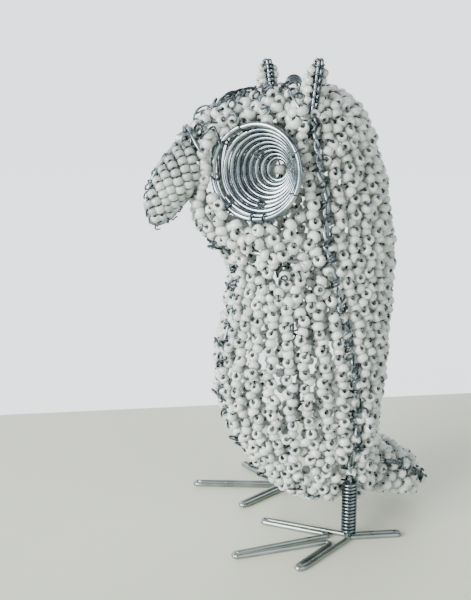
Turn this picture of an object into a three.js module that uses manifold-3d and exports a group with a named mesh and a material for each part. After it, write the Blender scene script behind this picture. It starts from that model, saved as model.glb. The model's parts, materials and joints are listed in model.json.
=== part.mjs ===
// A standing owl of wire and glass beads. Thick wires make the frame, nets of beads fill the spaces
// between them, the eyes are conical spirals of wire, and the inside is empty.
// Millimetres. The owl faces -Y, its left side is +X, +Z is up, and its feet stand on Z = 0.

import * as THREE from 'three';
import Module from 'manifold-3d';

const wasm = await Module();
wasm.setup();

// Driving dimensions
const HEIGHT = 175;             // floor to ear tips
const STANCE = 48.3;            // between the middles of the legs
const FRAME_WIRE = 1.6;         // thickness of the frame wires
const FRAME_DEPTH = 2.0;        // from the bead surface in to the middle of a frame wire
const NET_THICKNESS = 4.6;      // a net of 4 mm beads, one and a half beads deep
const NET_CELL = 6.4;           // half the spacing of the raised beads along a row
const BEAD_RELIEF = 1.3;        // from a raised bead's top down to the hollow beside it
const CLEARANCE = 0.3;          // gap between pieces that touch

const EYE_DIAMETER = 32.4;      // outside of the spiral
const EYE_DEPTH = 18.5;         // rim to the innermost turn
const EYE_WIRE = 1.5;
const EYE_TURNS = 9;
const EYE_HOLE = 5.0;           // inside the innermost turn
const EYE_ROOM = 9;             // how far the face is cut away in front of the rim
const EYE_TURN_AWAY = 47;       // degrees from straight sideways towards the front

const BEAK_HALF_WIDTH = 8;      // where the beak leaves the face
const BEAK_COLUMNS = 7;         // columns of beads from face to tip
const BEAK_COLUMN_BEADS = 5;    // beads from ridge to lower edge on each side
const BEAK_RELIEF = 0.9;
const BEAK_GAP = 0.8;            // between its beads and the wire round its edge

const EAR_THICKNESS = 7.4;      // a bead in front of the wire and one behind
const EAR_WIRE = 1.6;
const EAR_BEND = 1.4;           // radius of the wire's bend at the tip

const LEG_DIAMETER = 5.8;
const LEG_TOP = 22;             // the wound leg reaches up inside the body
const LEG_WRAP = 1.4;           // rise of each turn of the wire wound round the leg

const FOOT_WIRE = 1.65;
const TOE_STRANDS = 2.15;       // between the middles of a toe's two strands

const CROWN_COIL_WIRE = 1.0;
const CROWN_COIL_TURNS = 3;
const CROWN_COIL_RADIUS = 2.7;

// The free form is given in hundredths of the owl's height
const share = HEIGHT / 100;

// Rings of the body from the crown to the underside. Each ring lies in a sloping plane: it starts
// at the front of the middle plane, reaches its full half width at the side seam, and ends at the back.
const RINGS = [
  { front: [-11.9, 93.8], back: [-5.7, 94.3], halfWidth: 3.1, seam: -8.8 },
  { front: [-19.5, 92.3], back: [0.6, 93.2], halfWidth: 9.7, seam: -10.1 },
  { front: [-27.7, 88.9], back: [6.0, 88.3], halfWidth: 13.7, seam: -10.7 },
  { front: [-32.4, 82.3], back: [9.6, 79.8], halfWidth: 15.8, seam: -10.1 },
  { front: [-31.7, 72.9], back: [12.3, 69.8], halfWidth: 16.5, seam: -8.8 },
  { front: [-29.2, 65.4], back: [13.7, 61.0], halfWidth: 16.3, seam: -7.9 },
  { front: [-22.9, 58.1], back: [13.7, 52.8], halfWidth: 16.0, seam: -5.7 },
  { front: [-22.9, 49.7], back: [12.5, 43.4], halfWidth: 16.3, seam: -3.1 },
  { front: [-25.5, 37.7], back: [11.0, 32.1], halfWidth: 16.6, seam: -0.9 },
  { front: [-24.2, 26.4], back: [9.7, 22.3], halfWidth: 16.1, seam: 0.0 },
  { front: [-19.5, 17.0], back: [10.4, 15.7], halfWidth: 15.2, seam: -0.6 },
  { front: [-12.9, 8.8], back: [9.4, 8.2], halfWidth: 12.6, seam: -0.9 },
  { front: [-3.6, 5.0], back: [1.4, 5.0], halfWidth: 3.2, seam: -1.1 },
];
const NECK = 5.6 / (RINGS.length - 1);       // where the face net meets the breast net
const BACK_WIRE_END = 9.3 / (RINGS.length - 1);
const SIDE_WIRE_END = 9.7 / (RINGS.length - 1);

// Fullness of a ring between the middle plane and the seam: 2 is an ellipse, less is leaner
const FACE_FULLNESS = 1.65;
const BODY_FULLNESS = 2.2;

// The beak's wire in the middle plane: along the ridge to the tip, and back along the lower edge
const BEAK_RIDGE = [[-31.8, 84.6], [-33.7, 82.0], [-36.0, 79.4], [-37.8, 76.6], [-39.3, 73.3], [-39.7, 70.4]];
const BEAK_LOWER = [[-29.2, 74.2], [-31.2, 71.9], [-33.3, 69.8], [-34.7, 68.2], [-36.6, 67.2], [-38.4, 67.0]];

const EYE_CENTRE = [10.7, -20.8, 77.2];
const EAR_TIPS = { left: [11.3, -8.5, 98.3], right: [10.6, -10.2, 100.0] };
const EAR_RINGS = [0.75 / (RINGS.length - 1), 2.3 / (RINGS.length - 1)];   // inner and outer foot of the ear

const TAIL_ROOT = [6.5, 12.8];
const TAIL_MIDDLE = [15.6, 8.6];
const TAIL_TIP = [22.8, 5.3];
const TAIL_HALF_WIDTHS = [10.4, 9.8, 5.8];
const TAIL_HALF_HEIGHTS = [5.8, 5.3, 3.2];
const TAIL_FULLNESS = 2.7;

// Each foot as it is bent: the toe tips and the two bends between toes, from the middle of its leg
const FEET = {
  left: {
    legY: -1.2,
    tips: [[-22.6, -26.0], [-1.5, -45.6], [14.7, -27.7]],
    bends: [[-3.8, -8.4], [2.4, -10.2]],
    back: [4.8, 19.7],
  },
  right: {
    legY: -4.2,
    tips: [[11.5, -26.3], [-15.4, -37.8], [-27.9, -10.3]],
    bends: [[0.0, -6.7], [-4.6, -5.4]],
    back: [6.5, 18.6],
  },
};

// Materials
const beadMaterial = () => new THREE.MeshStandardMaterial({ color: 0xe9ebe8, roughness: 0.45, metalness: 0 });
const wireMaterial = () => new THREE.MeshStandardMaterial({ color: 0x9aa4a4, roughness: 0.35, metalness: 1 });
const eyeMaterial = () => new THREE.MeshStandardMaterial({ color: 0xb9c4c8, roughness: 0.2, metalness: 1 });

const vec = (x, y, z) => new THREE.Vector3(x, y, z);
const middlePlane = ([y, z]) => vec(0, y * share, z * share);
const clampIndex = (index, count) => Math.min(Math.max(index, 0), count - 1);

// Closed solids from lists of points

function solidFrom(positions, triangles) {
  let volume = 0;
  for (const [a, b, c] of triangles) {
    volume += positions[a].dot(positions[b].clone().cross(positions[c]));
  }
  const outward = volume > 0 ? triangles : triangles.map(([a, b, c]) => [a, c, b]);
  const mesh = new wasm.Mesh({
    numProp: 3,
    vertProperties: new Float32Array(positions.flatMap((point) => [point.x, point.y, point.z])),
    triVerts: new Uint32Array(outward.flat()),
  });
  return new wasm.Manifold(mesh);
}

// A solid through rings of equal count, closed at both ends
function loft(rings) {
  const count = rings[0].length;
  const positions = rings.flat();
  const triangles = [];
  for (let row = 0; row < rings.length - 1; row += 1) {
    for (let k = 0; k < count; k += 1) {
      const next = (k + 1) % count;
      const here = row * count;
      const there = here + count;
      triangles.push([here + k, here + next, there + next]);
      triangles.push([here + k, there + next, there + k]);
    }
  }
  const last = (rings.length - 1) * count;
  for (let k = 1; k < count - 1; k += 1) {
    triangles.push([0, k + 1, k]);
    triangles.push([last, last + k, last + k + 1]);
  }
  return solidFrom(positions, triangles);
}

// A round wire along points, with a frame carried from point to point so that it doesn't twist
function wireAlong(points, diameter, sides = 4) {
  const tangentAt = (i) => {
    const before = points[clampIndex(i - 1, points.length)];
    const after = points[clampIndex(i + 1, points.length)];
    return after.clone().sub(before).normalize();
  };
  let across = tangentAt(0).cross(vec(0.31, 0.17, 0.94)).normalize();
  const rings = points.map((point, i) => {
    const tangent = tangentAt(i);
    across = across.clone().addScaledVector(tangent, -across.dot(tangent)).normalize();
    const other = tangent.clone().cross(across);
    return Array.from({ length: sides }, (_, k) => {
      const angle = (2 * Math.PI * k) / sides;
      return point.clone()
        .addScaledVector(across, (Math.cos(angle) * diameter) / 2)
        .addScaledVector(other, (Math.sin(angle) * diameter) / 2);
    });
  });
  return loft(rings);
}

// The same for a wire that lies on the ground: six sides, one of them flat on Z = 0
function wireOnGround(points, diameter) {
  const sides = 6;
  const corner = diameter / 2 / Math.cos(Math.PI / sides);
  const rings = points.map((point, i) => {
    const before = points[clampIndex(i - 1, points.length)];
    const after = points[clampIndex(i + 1, points.length)];
    const tangent = after.clone().sub(before).normalize();
    const across = vec(-tangent.y, tangent.x, 0);
    return Array.from({ length: sides }, (_, k) => {
      const angle = (2 * Math.PI * k) / sides;
      const ring = point.clone().addScaledVector(across, corner * Math.cos(angle));
      return ring.setZ(diameter / 2 + corner * Math.sin(angle));
    });
  });
  return loft(rings);
}

// The body's surface

const frontLine = new THREE.CatmullRomCurve3(RINGS.map((ring) => middlePlane(ring.front)), false, 'catmullrom', 0.5);
const backLine = new THREE.CatmullRomCurve3(RINGS.map((ring) => middlePlane(ring.back)), false, 'catmullrom', 0.5);
const widthLine = new THREE.CatmullRomCurve3(
  RINGS.map((ring) => vec(ring.halfWidth * share, ring.seam * share, 0)), false, 'catmullrom', 0.5);

// A point of the surface on the owl's left: t runs from crown to underside, and turn from 0 at the
// front over 1 at the side seam to 2 at the back
function surfacePoint(t, turn) {
  const front = frontLine.getPoint(t);
  const back = backLine.getPoint(t);
  const width = widthLine.getPoint(t);
  const along = (width.y - front.y) / (back.y - front.y);
  const middle = front.clone().lerp(back, along);
  const isFront = turn <= 1;
  const end = isFront ? front : back;
  const isBody = isFront ? THREE.MathUtils.smoothstep(t, NECK - 0.1, NECK + 0.1) : 1;
  const fullness = FACE_FULLNESS + (BODY_FULLNESS - FACE_FULLNESS) * isBody;
  const angle = ((isFront ? turn : 2 - turn) * Math.PI) / 2;
  const lengthways = Math.cos(angle) ** (2 / fullness);
  const sideways = Math.sin(angle) ** (2 / fullness);
  return middle.clone().addScaledVector(end.clone().sub(middle), lengthways).setX(width.x * sideways);
}

// Points at even distances along a ring from one turn to another, held back from both wires
function ringPoints(t, fromTurn, toTurn, count, holdBack) {
  const fine = 48;
  const trace = Array.from({ length: fine + 1 }, (_, i) => surfacePoint(t, fromTurn + ((toTurn - fromTurn) * i) / fine));
  const reach = [0];
  for (let i = 1; i <= fine; i += 1) {
    reach.push(reach[i - 1] + trace[i].distanceTo(trace[i - 1]));
  }
  const start = holdBack;
  const end = reach[fine] - holdBack;
  return Array.from({ length: count + 1 }, (_, j) => {
    const wanted = start + ((end - start) * j) / count;
    let i = 1;
    while (i < fine && reach[i] < wanted) i += 1;
    const part = (wanted - reach[i - 1]) / (reach[i] - reach[i - 1]);
    const turn = fromTurn + ((toTurn - fromTurn) * (i - 1 + part)) / fine;
    return { point: trace[i - 1].clone().lerp(trace[i], part), outward: outwardAt(t, turn) };
  });
}

// The surface's outward direction. The seams are its edges, so no step crosses them.
function outwardAt(t, turn) {
  const step = 0.01;
  const [low, high] = turn < 1 ? [0, 1] : [1, 2];
  const from = Math.max(turn - step, low + 0.002);
  const to = Math.min(turn + step, high - 0.002);
  const downward = surfacePoint(Math.min(t + step, 1), turn).sub(surfacePoint(Math.max(t - step, 0), turn));
  const around = surfacePoint(t, to).sub(surfacePoint(t, from));
  return downward.cross(around).normalize();
}

// A net of beads between two wires, on the owl's left. Every other corner of its outer face is a
// bead's top and the ones between are the hollows beside it. The inner face is plainer.
function beadNet(fromT, toT, fromTurn, toTurn) {
  const holdBack = FRAME_WIRE / 2 + CLEARANCE;
  const longSide = new THREE.CatmullRomCurve3(
    Array.from({ length: 20 }, (_, i) => surfacePoint(fromT + ((toT - fromT) * i) / 19, (fromTurn + toTurn) / 2)));
  const wide = Math.max(...[0.3, 0.5, 0.7].map((part) => {
    const row = ringPoints(fromT + (toT - fromT) * part, fromTurn, toTurn, 12, holdBack);
    return 12 * row[0].point.distanceTo(row[1].point);
  }));
  const rows = 2 * Math.round(longSide.getLength() / NET_CELL / 2);
  const columns = 2 * Math.round(wide / NET_CELL / 2);
  const grid = longSide.getSpacedPoints(rows).map((_, i) => {
    const t = fromT + (toT - fromT) * longSide.getUtoTmapping(i / rows, null);
    return ringPoints(t, fromTurn, toTurn, columns, holdBack);
  });
  const positions = [];
  const outer = grid.map((row, i) => row.map(({ point, outward }, j) => {
    const isEdge = i === 0 || j === 0 || i === rows || j === columns;
    const lowered = isEdge ? BEAD_RELIEF / 2 : BEAD_RELIEF * ((i + j + 1) % 2);
    return positions.push(point.clone().addScaledVector(outward, -lowered)) - 1;
  }));
  const inner = [];
  for (let i = 0; i <= rows; i += 2) {
    inner.push([]);
    for (let j = 0; j <= columns; j += 2) {
      const point = grid[i][j].point.clone().addScaledVector(grid[i][j].outward, -NET_THICKNESS);
      point.setX(Math.max(point.x, holdBack));
      inner[i / 2].push(positions.push(point) - 1);
    }
  }
  const triangles = [];
  for (let i = 0; i < rows; i += 1) {
    for (let j = 0; j < columns; j += 1) {
      const [a, b, c, d] = [outer[i][j], outer[i][j + 1], outer[i + 1][j + 1], outer[i + 1][j]];
      if ((i + j) % 2 === 0) triangles.push([a, b, c], [a, c, d]);
      else triangles.push([a, b, d], [b, c, d]);
    }
  }
  for (let i = 0; i < rows / 2; i += 1) {
    for (let j = 0; j < columns / 2; j += 1) {
      const [a, b, c, d] = [inner[i][j], inner[i][j + 1], inner[i + 1][j + 1], inner[i + 1][j]];
      triangles.push([a, c, b], [a, d, c]);
    }
  }
  const edge = (fine, coarse) => {
    for (let k = 0; k < coarse.length - 1; k += 1) {
      const [f0, f1, f2] = fine.slice(2 * k, 2 * k + 3);
      triangles.push([f0, coarse[k], f1], [f1, coarse[k], coarse[k + 1]], [f1, coarse[k + 1], f2]);
    }
  };
  edge(outer[0], inner[0]);
  edge(outer[rows].slice().reverse(), inner[rows / 2].slice().reverse());
  edge(outer.map((row) => row[columns]), inner.map((row) => row[columns / 2]));
  edge(outer.map((row) => row[0]).reverse(), inner.map((row) => row[0]).reverse());
  return solidFrom(positions, triangles);
}

// The whole closed form of the head, grown by the clearance, which cuts what stands on it
function headForm() {
  const rings = Array.from({ length: 17 }, (_, i) => {
    const t = (0.5 * i) / 16;
    const half = ringPoints(t, 0, 1, 8, 0).concat(ringPoints(t, 1, 2, 8, 0).slice(1));
    const grown = half.map(({ point, outward }) => point.clone().addScaledVector(outward, CLEARANCE));
    const other = grown.slice(1, -1).reverse().map((point) => vec(-point.x, point.y, point.z));
    grown[0].setX(0);
    grown[grown.length - 1].setX(0);
    return grown.concat(other);
  });
  return loft(rings);
}

// Frame wires, sunk into the seams between the nets

function sunkPoint(t, turn, depth) {
  const point = surfacePoint(t, turn);
  const outward = outwardAt(t, turn);
  if (turn === 0 || turn === 2) outward.setX(0).normalize();
  return point.addScaledVector(outward, -depth);
}

function sunkLine(fromT, toT, turn, depth, steps) {
  return Array.from({ length: steps + 1 }, (_, i) => sunkPoint(fromT + ((toT - fromT) * i) / steps, turn, depth));
}

const beakRidge = new THREE.CatmullRomCurve3(BEAK_RIDGE.map(middlePlane));
const beakLower = new THREE.CatmullRomCurve3(BEAK_LOWER.map(middlePlane));

// The middle wire leaves the face above the beak, goes round the beak's edge and comes back below it
function middleWire() {
  const steps = RINGS.length - 1;
  const forehead = sunkLine(0.02, 2.5 / steps, 0, FRAME_DEPTH, 8);
  const ridge = beakRidge.getSpacedPoints(9);
  const lower = beakLower.getSpacedPoints(8).reverse();
  const throat = sunkLine(4.6 / steps, 0.985, 0, FRAME_DEPTH, 26);
  const route = new THREE.CatmullRomCurve3([...forehead, ...ridge, ...lower, ...throat]);
  return wireAlong(route.getSpacedPoints(54), FRAME_WIRE);
}

function backWire() {
  const route = new THREE.CatmullRomCurve3(sunkLine(0.02, BACK_WIRE_END, 2, FRAME_DEPTH, 20));
  return wireAlong(route.getSpacedPoints(20), FRAME_WIRE);
}

// A side wire runs down the seam and then straight down to the top of its leg
function sideWirePoints(legY) {
  const seam = sunkLine(0.035, SIDE_WIRE_END, 1, FRAME_DEPTH, 22);
  const above = [2, 1].map((part) => vec(STANCE / 2, legY, LEG_TOP + CLEARANCE + part * FRAME_WIRE));
  const legEnd = vec(STANCE / 2, legY, LEG_TOP + CLEARANCE);
  const route = new THREE.CatmullRomCurve3([...seam, ...above]);
  return [...route.getSpacedPoints(26), legEnd];
}

// The neck wire lies inside the middle wire, between the face nets and the breast nets
function neckWire() {
  const depth = FRAME_DEPTH + FRAME_WIRE + CLEARANCE;
  const half = Array.from({ length: 9 }, (_, i) => sunkPoint(NECK, (0.86 * i) / 8, depth));
  const other = half.slice(1).reverse().map((point) => vec(-point.x, point.y, point.z));
  return wireAlong([...other, ...half], FRAME_WIRE);
}

function crownCoil() {
  const steps = CROWN_COIL_TURNS * 10;
  const middle = frontLine.getPoint(0).lerp(backLine.getPoint(0), 0.5);
  const points = Array.from({ length: steps + 1 }, (_, i) => {
    const angle = (2 * Math.PI * i) / 10;
    const rise = (i / 10) * (CROWN_COIL_WIRE + 0.1);
    return vec(
      middle.x + CROWN_COIL_RADIUS * Math.cos(angle),
      middle.y + CROWN_COIL_RADIUS * Math.sin(angle),
      middle.z - 2 * CROWN_COIL_WIRE + rise);
  });
  return wireAlong(points, CROWN_COIL_WIRE);
}

// The beak: columns of beads from ridge to lower edge, held back from the wire round its edge
function beak(grow) {
  const holdBack = FRAME_WIRE / 2 + BEAK_GAP - grow;
  const rows = 2 * BEAK_COLUMNS;
  const around = 4 * BEAK_COLUMN_BEADS;
  const rings = Array.from({ length: rows + 1 }, (_, i) => {
    const s = (0.92 * i) / rows;
    const top = beakRidge.getPointAt(s);
    const bottom = beakLower.getPointAt(s);
    const half = top.clone().sub(bottom).multiplyScalar(0.5);
    const middle = top.clone().add(bottom).multiplyScalar(0.5);
    const height = half.length() - holdBack;
    half.normalize();
    const width = BEAK_HALF_WIDTH * (1 - 0.8 * s ** 1.5) + grow;
    return Array.from({ length: around }, (_, k) => {
      const angle = (2 * Math.PI * k) / around;
      const isBead = i % 2 === 1 && k % 2 === 1;
      const lowered = isBead || grow > 0 ? 0 : BEAK_RELIEF;
      return middle.clone()
        .addScaledVector(half, height * Math.cos(angle))
        .setX((width - lowered) * Math.sin(angle));
    });
  });
  return loft(rings);
}

// Eyes

function eyeFrame() {
  const turn = THREE.MathUtils.degToRad(EYE_TURN_AWAY);
  const outward = vec(Math.cos(turn), -Math.sin(turn), 0);
  const place = new THREE.Matrix4().makeBasis(vec(Math.sin(turn), Math.cos(turn), 0), vec(0, 0, 1), outward);
  const [x, y, z] = EYE_CENTRE;
  return place.setPosition(x * share, y * share, z * share);
}

function eye() {
  const rim = (EYE_DIAMETER - EYE_WIRE) / 2;
  const hole = (EYE_HOLE + EYE_WIRE) / 2;
  const points = [];
  let angle = 0;
  while (angle < 2 * Math.PI * EYE_TURNS) {
    const part = Math.max(angle / (2 * Math.PI) - 0.8, 0) / (EYE_TURNS - 0.8);
    const radius = rim + (hole - rim) * part;
    points.push(vec(radius * Math.cos(angle), radius * Math.sin(angle), -EYE_DEPTH * part));
    angle += (2 * Math.PI) / (part < 0.3 ? 12 : 9);
  }
  const place = eyeFrame();
  return wireAlong(points.map((point) => point.applyMatrix4(place)), EYE_WIRE);
}

// The room that an eye takes in the face net
function eyeRoom() {
  const rim = EYE_DIAMETER / 2 + CLEARANCE;
  const hole = EYE_HOLE / 2 + EYE_WIRE + CLEARANCE;
  const place = eyeFrame();
  const levels = [[rim, EYE_ROOM], [rim, -EYE_WIRE], [hole, -EYE_DEPTH - EYE_WIRE]];
  return loft(levels.map(([radius, level]) => Array.from({ length: 24 }, (_, k) => {
    const angle = (2 * Math.PI * k) / 24;
    return vec(radius * Math.cos(angle), radius * Math.sin(angle), level).applyMatrix4(place);
  })));
}

// Ears: a hairpin of wire filled with beads, standing on the side seam

function ear(tipPlace) {
  const [inner, outer] = EAR_RINGS.map((t) => sunkPoint(t, 1, NET_THICKNESS / 2));
  const tip = vec(...tipPlace.map((value) => value * share));
  const upward = tip.clone().sub(inner.clone().lerp(outer, 0.5)).normalize();
  const across = inner.clone().sub(outer);
  across.addScaledVector(upward, -across.dot(upward)).normalize();
  const bend = Array.from({ length: 4 }, (_, k) => {
    const angle = (Math.PI * k) / 3;
    return tip.clone()
      .addScaledVector(upward, EAR_BEND * (Math.sin(angle) - 1) - EAR_WIRE / 2)
      .addScaledVector(across, EAR_BEND * Math.cos(angle));
  });
  const hairpin = wireAlong([inner, ...bend, outer], EAR_WIRE, 6);
  const rows = 5;
  const around = 8;
  const ring = (start, end, halfDepth, i) => {
    const middle = start.clone().lerp(end, 0.5);
    const half = end.clone().sub(start).multiplyScalar(0.5);
    return Array.from({ length: around }, (_, k) => {
      const angle = (2 * Math.PI * k) / around;
      const raised = (i + k) % 2 === 0 ? 1 : 1 - BEAD_RELIEF / EAR_THICKNESS;
      return middle.clone()
        .addScaledVector(half, Math.cos(angle))
        .add(vec(0, halfDepth * raised * Math.sin(angle), 0));
    });
  };
  const rings = Array.from({ length: rows + 1 }, (_, i) => {
    const rise = i / rows;
    const start = inner.clone().lerp(bend[0], rise);
    const end = outer.clone().lerp(bend[3], rise);
    return ring(start, end, (EAR_THICKNESS / 2) * (1 - 0.5 * rise), i);
  });
  const top = tip.clone().addScaledVector(upward, -EAR_WIRE / 2);
  const [left, right] = [1, -1].map((way) => top.clone().addScaledVector(across, (way * EAR_WIRE) / 4));
  rings.push(ring(left, right, EAR_WIRE / 4, rows + 1));
  return largest(loft(rings).add(hairpin).subtract(head));
}

// The tail: a short flat lobe behind the legs
function tail(grow) {
  const rows = 8;
  const around = 18;
  const line = new THREE.CatmullRomCurve3([TAIL_ROOT, TAIL_MIDDLE, TAIL_TIP].map(middlePlane));
  const widths = new THREE.CatmullRomCurve3(
    TAIL_HALF_WIDTHS.map((value, i) => vec(value * share, TAIL_HALF_HEIGHTS[i] * share, 0)));
  const rings = Array.from({ length: rows + 1 }, (_, i) => {
    const s = i / rows;
    const middle = line.getPoint(s);
    const tangent = line.getTangent(s);
    const up = vec(0, -tangent.z, tangent.y);
    const size = widths.getPoint(s);
    return Array.from({ length: around }, (_, k) => {
      const angle = (2 * Math.PI * k) / around;
      const lowered = grow > 0 ? 0 : BEAD_RELIEF * ((i + k) % 2);
      const fuller = (value) => Math.sign(value) * Math.abs(value) ** (2 / TAIL_FULLNESS);
      return middle.clone()
        .addScaledVector(up, (size.y - lowered + grow) * fuller(Math.sin(angle)))
        .setX((size.x - lowered + grow) * fuller(Math.cos(angle)));
    });
  });
  return loft(rings);
}

// Legs and feet

function leg(legY) {
  const turns = Math.floor((LEG_TOP - FOOT_WIRE - CLEARANCE) / LEG_WRAP);
  const sides = 6;
  const ring = (radius, z) => Array.from({ length: sides }, (_, k) => {
    const angle = (2 * Math.PI * k) / sides;
    return vec(STANCE / 2 + radius * Math.cos(angle), legY + radius * Math.sin(angle), z);
  });
  const crest = LEG_DIAMETER / 2;
  const rings = [];
  for (let i = 0; i < turns; i += 1) {
    const bottom = FOOT_WIRE + CLEARANCE + i * LEG_WRAP;
    rings.push(ring(crest - LEG_WRAP / 2, bottom), ring(crest, bottom + LEG_WRAP / 2));
  }
  rings.push(ring(crest - LEG_WRAP / 2, LEG_TOP));
  return loft(rings);
}

function legRoom(legY) {
  const radius = LEG_DIAMETER / 2 + CLEARANCE;
  return loft([0, LEG_TOP + CLEARANCE].map((z) => Array.from({ length: 12 }, (_, k) => {
    const angle = (2 * Math.PI * (k + 0.5)) / 12;
    const reach = radius / Math.cos(Math.PI / 12);
    return vec(STANCE / 2 + reach * Math.cos(angle), legY + reach * Math.sin(angle), z);
  })));
}

// One toe: out along a strand, round the tip and back
function toe(start, tip, end) {
  const radius = TOE_STRANDS / 2;
  const outward = tip.clone().sub(start.clone().add(end).multiplyScalar(0.5)).normalize();
  const across = vec(-outward.y, outward.x, 0);
  const side = start.clone().sub(end).dot(across) < 0 ? -1 : 1;
  const centre = tip.clone().addScaledVector(outward, -radius - FOOT_WIRE / 2);
  const bend = Array.from({ length: 4 }, (_, k) => {
    const angle = (Math.PI * k) / 3;
    return centre.clone()
      .addScaledVector(across, side * radius * Math.cos(angle))
      .addScaledVector(outward, radius * Math.sin(angle));
  });
  const extend = (from, point) => point.clone().add(point.clone().sub(from).normalize().multiplyScalar(FOOT_WIRE / 2));
  return wireOnGround([extend(bend[0], start), ...bend, extend(bend[3], end)], FOOT_WIRE);
}

function foot(side, plan) {
  const middle = vec(side * (STANCE / 2), plan.legY, 0);
  const at = ([x, y]) => middle.clone().add(vec(x, y, 0));
  const spread = TOE_STRANDS / 2;
  const starts = [middle.clone().add(vec(-side * spread, 0, 0)), at(plan.bends[0]), at(plan.bends[1])];
  const ends = [at(plan.bends[0]), at(plan.bends[1]), middle.clone().add(vec(side * spread, 0, 0))];
  let solid = toe(starts[0], at(plan.tips[0]), ends[0]);
  solid = solid.add(toe(starts[1], at(plan.tips[1]), ends[1]));
  solid = solid.add(toe(starts[2], at(plan.tips[2]), ends[2]));
  return solid.add(toe(starts[0], at(plan.back), ends[2]));
}

// Putting the owl together

const owl = new THREE.Group();

function toGeometry(solid) {
  const { vertProperties, triVerts } = solid.getMesh();
  const geometry = new THREE.BufferGeometry();
  geometry.setAttribute('position', new THREE.BufferAttribute(new Float32Array(vertProperties), 3));
  geometry.setIndex(new THREE.BufferAttribute(new Uint32Array(triVerts), 1));
  return geometry;
}

function place(name, solid, material) {
  const mesh = new THREE.Mesh(toGeometry(solid), material());
  mesh.name = name;
  owl.add(mesh);
}

// A cut can leave crumbs of a bead: only the largest part is the net
function largest(solid) {
  const parts = solid.decompose();
  return parts.reduce((best, part) => (part.volume() > best.volume() ? part : best));
}

const cutAway = (solid, rooms) => largest(rooms.reduce((rest, room) => rest.subtract(room), solid));

// The neck wire's channel between the face net and the breast net, as a share of the way down
const neckChannel = (() => {
  const step = 0.01;
  const perStep = surfacePoint(NECK - step, 1).distanceTo(surfacePoint(NECK + step, 1));
  return ((FRAME_WIRE / 2 + CLEARANCE) * 2 * step) / perStep;
})();

const head = headForm();
const beakRoom = beak(CLEARANCE);
const tailRoom = tail(CLEARANCE);
for (const [name, side] of [['left', 1], ['right', -1]]) {
  const { legY } = FEET[name];
  const mirrored = (solid) => (side === 1 ? solid : solid.mirror([1, 0, 0]));
  const wirePoints = sideWirePoints(legY);
  const wireRoom = wireAlong(wirePoints.slice(-5), FRAME_WIRE + 3 * CLEARANCE);
  // The breast net is open from the leg to the seam, where the side wire bends forward
  const toSeam = widthLine.getPoint(SIDE_WIRE_END).y - legY;
  const wireSlot = wasm.Manifold.hull([wireRoom, wireRoom.translate([0, toSeam, 0])]);
  const lowerRooms = [legRoom(legY), tailRoom];
  place(`face_net_${name}`, mirrored(cutAway(beadNet(0, NECK - neckChannel, 0, 1), [eyeRoom(), beakRoom])), beadMaterial);
  place(`breast_net_${name}`, mirrored(cutAway(beadNet(NECK + neckChannel, 1, 0, 1), [...lowerRooms, wireSlot])), beadMaterial);
  place(`back_net_${name}`, mirrored(cutAway(beadNet(0, 1, 1, 2), [...lowerRooms, wireRoom])), beadMaterial);
  place(`side_wire_${name}`, mirrored(wireAlong(wirePoints, FRAME_WIRE)), wireMaterial);
  place(`eye_${name}`, mirrored(eye()), eyeMaterial);
  place(`ear_${name}`, mirrored(ear(EAR_TIPS[name])), beadMaterial);
  place(`leg_${name}`, mirrored(leg(legY)), wireMaterial);
  place(`foot_${name}`, foot(side, FEET[name]), wireMaterial);
}
place('beak', beak(0), beadMaterial);
place('tail', tail(0), beadMaterial);
place('middle_wire', middleWire(), wireMaterial);
place('back_wire', backWire(), wireMaterial);
place('neck_wire', neckWire(), wireMaterial);
place('crown_coil', crownCoil(), wireMaterial);

// The origin is on the ground, under the middle of the whole owl
const box = new THREE.Box3().setFromObject(owl);
owl.position.set(-(box.min.x + box.max.x) / 2, -(box.min.y + box.max.y) / 2, -box.min.z);

export default owl;
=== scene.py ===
# %% [markdown]
# An owl of white glass beads on a wire frame.
# The real one is made by hand: thick wires are bent to the owl's outline, and a thin wire carries
# glass beads back and forth between them until each space is filled with a net of beads.
# The eyes are cones of bright wire and the feet are bent from one wire each.
# This file builds it the same way, piece by piece, in the place of the plain solids of the frame.

# %% Load the frame that every piece is fitted to
import json
import math

import bpy
import numpy as np
from mathutils import Matrix, Vector
from mathutils.kdtree import KDTree

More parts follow.
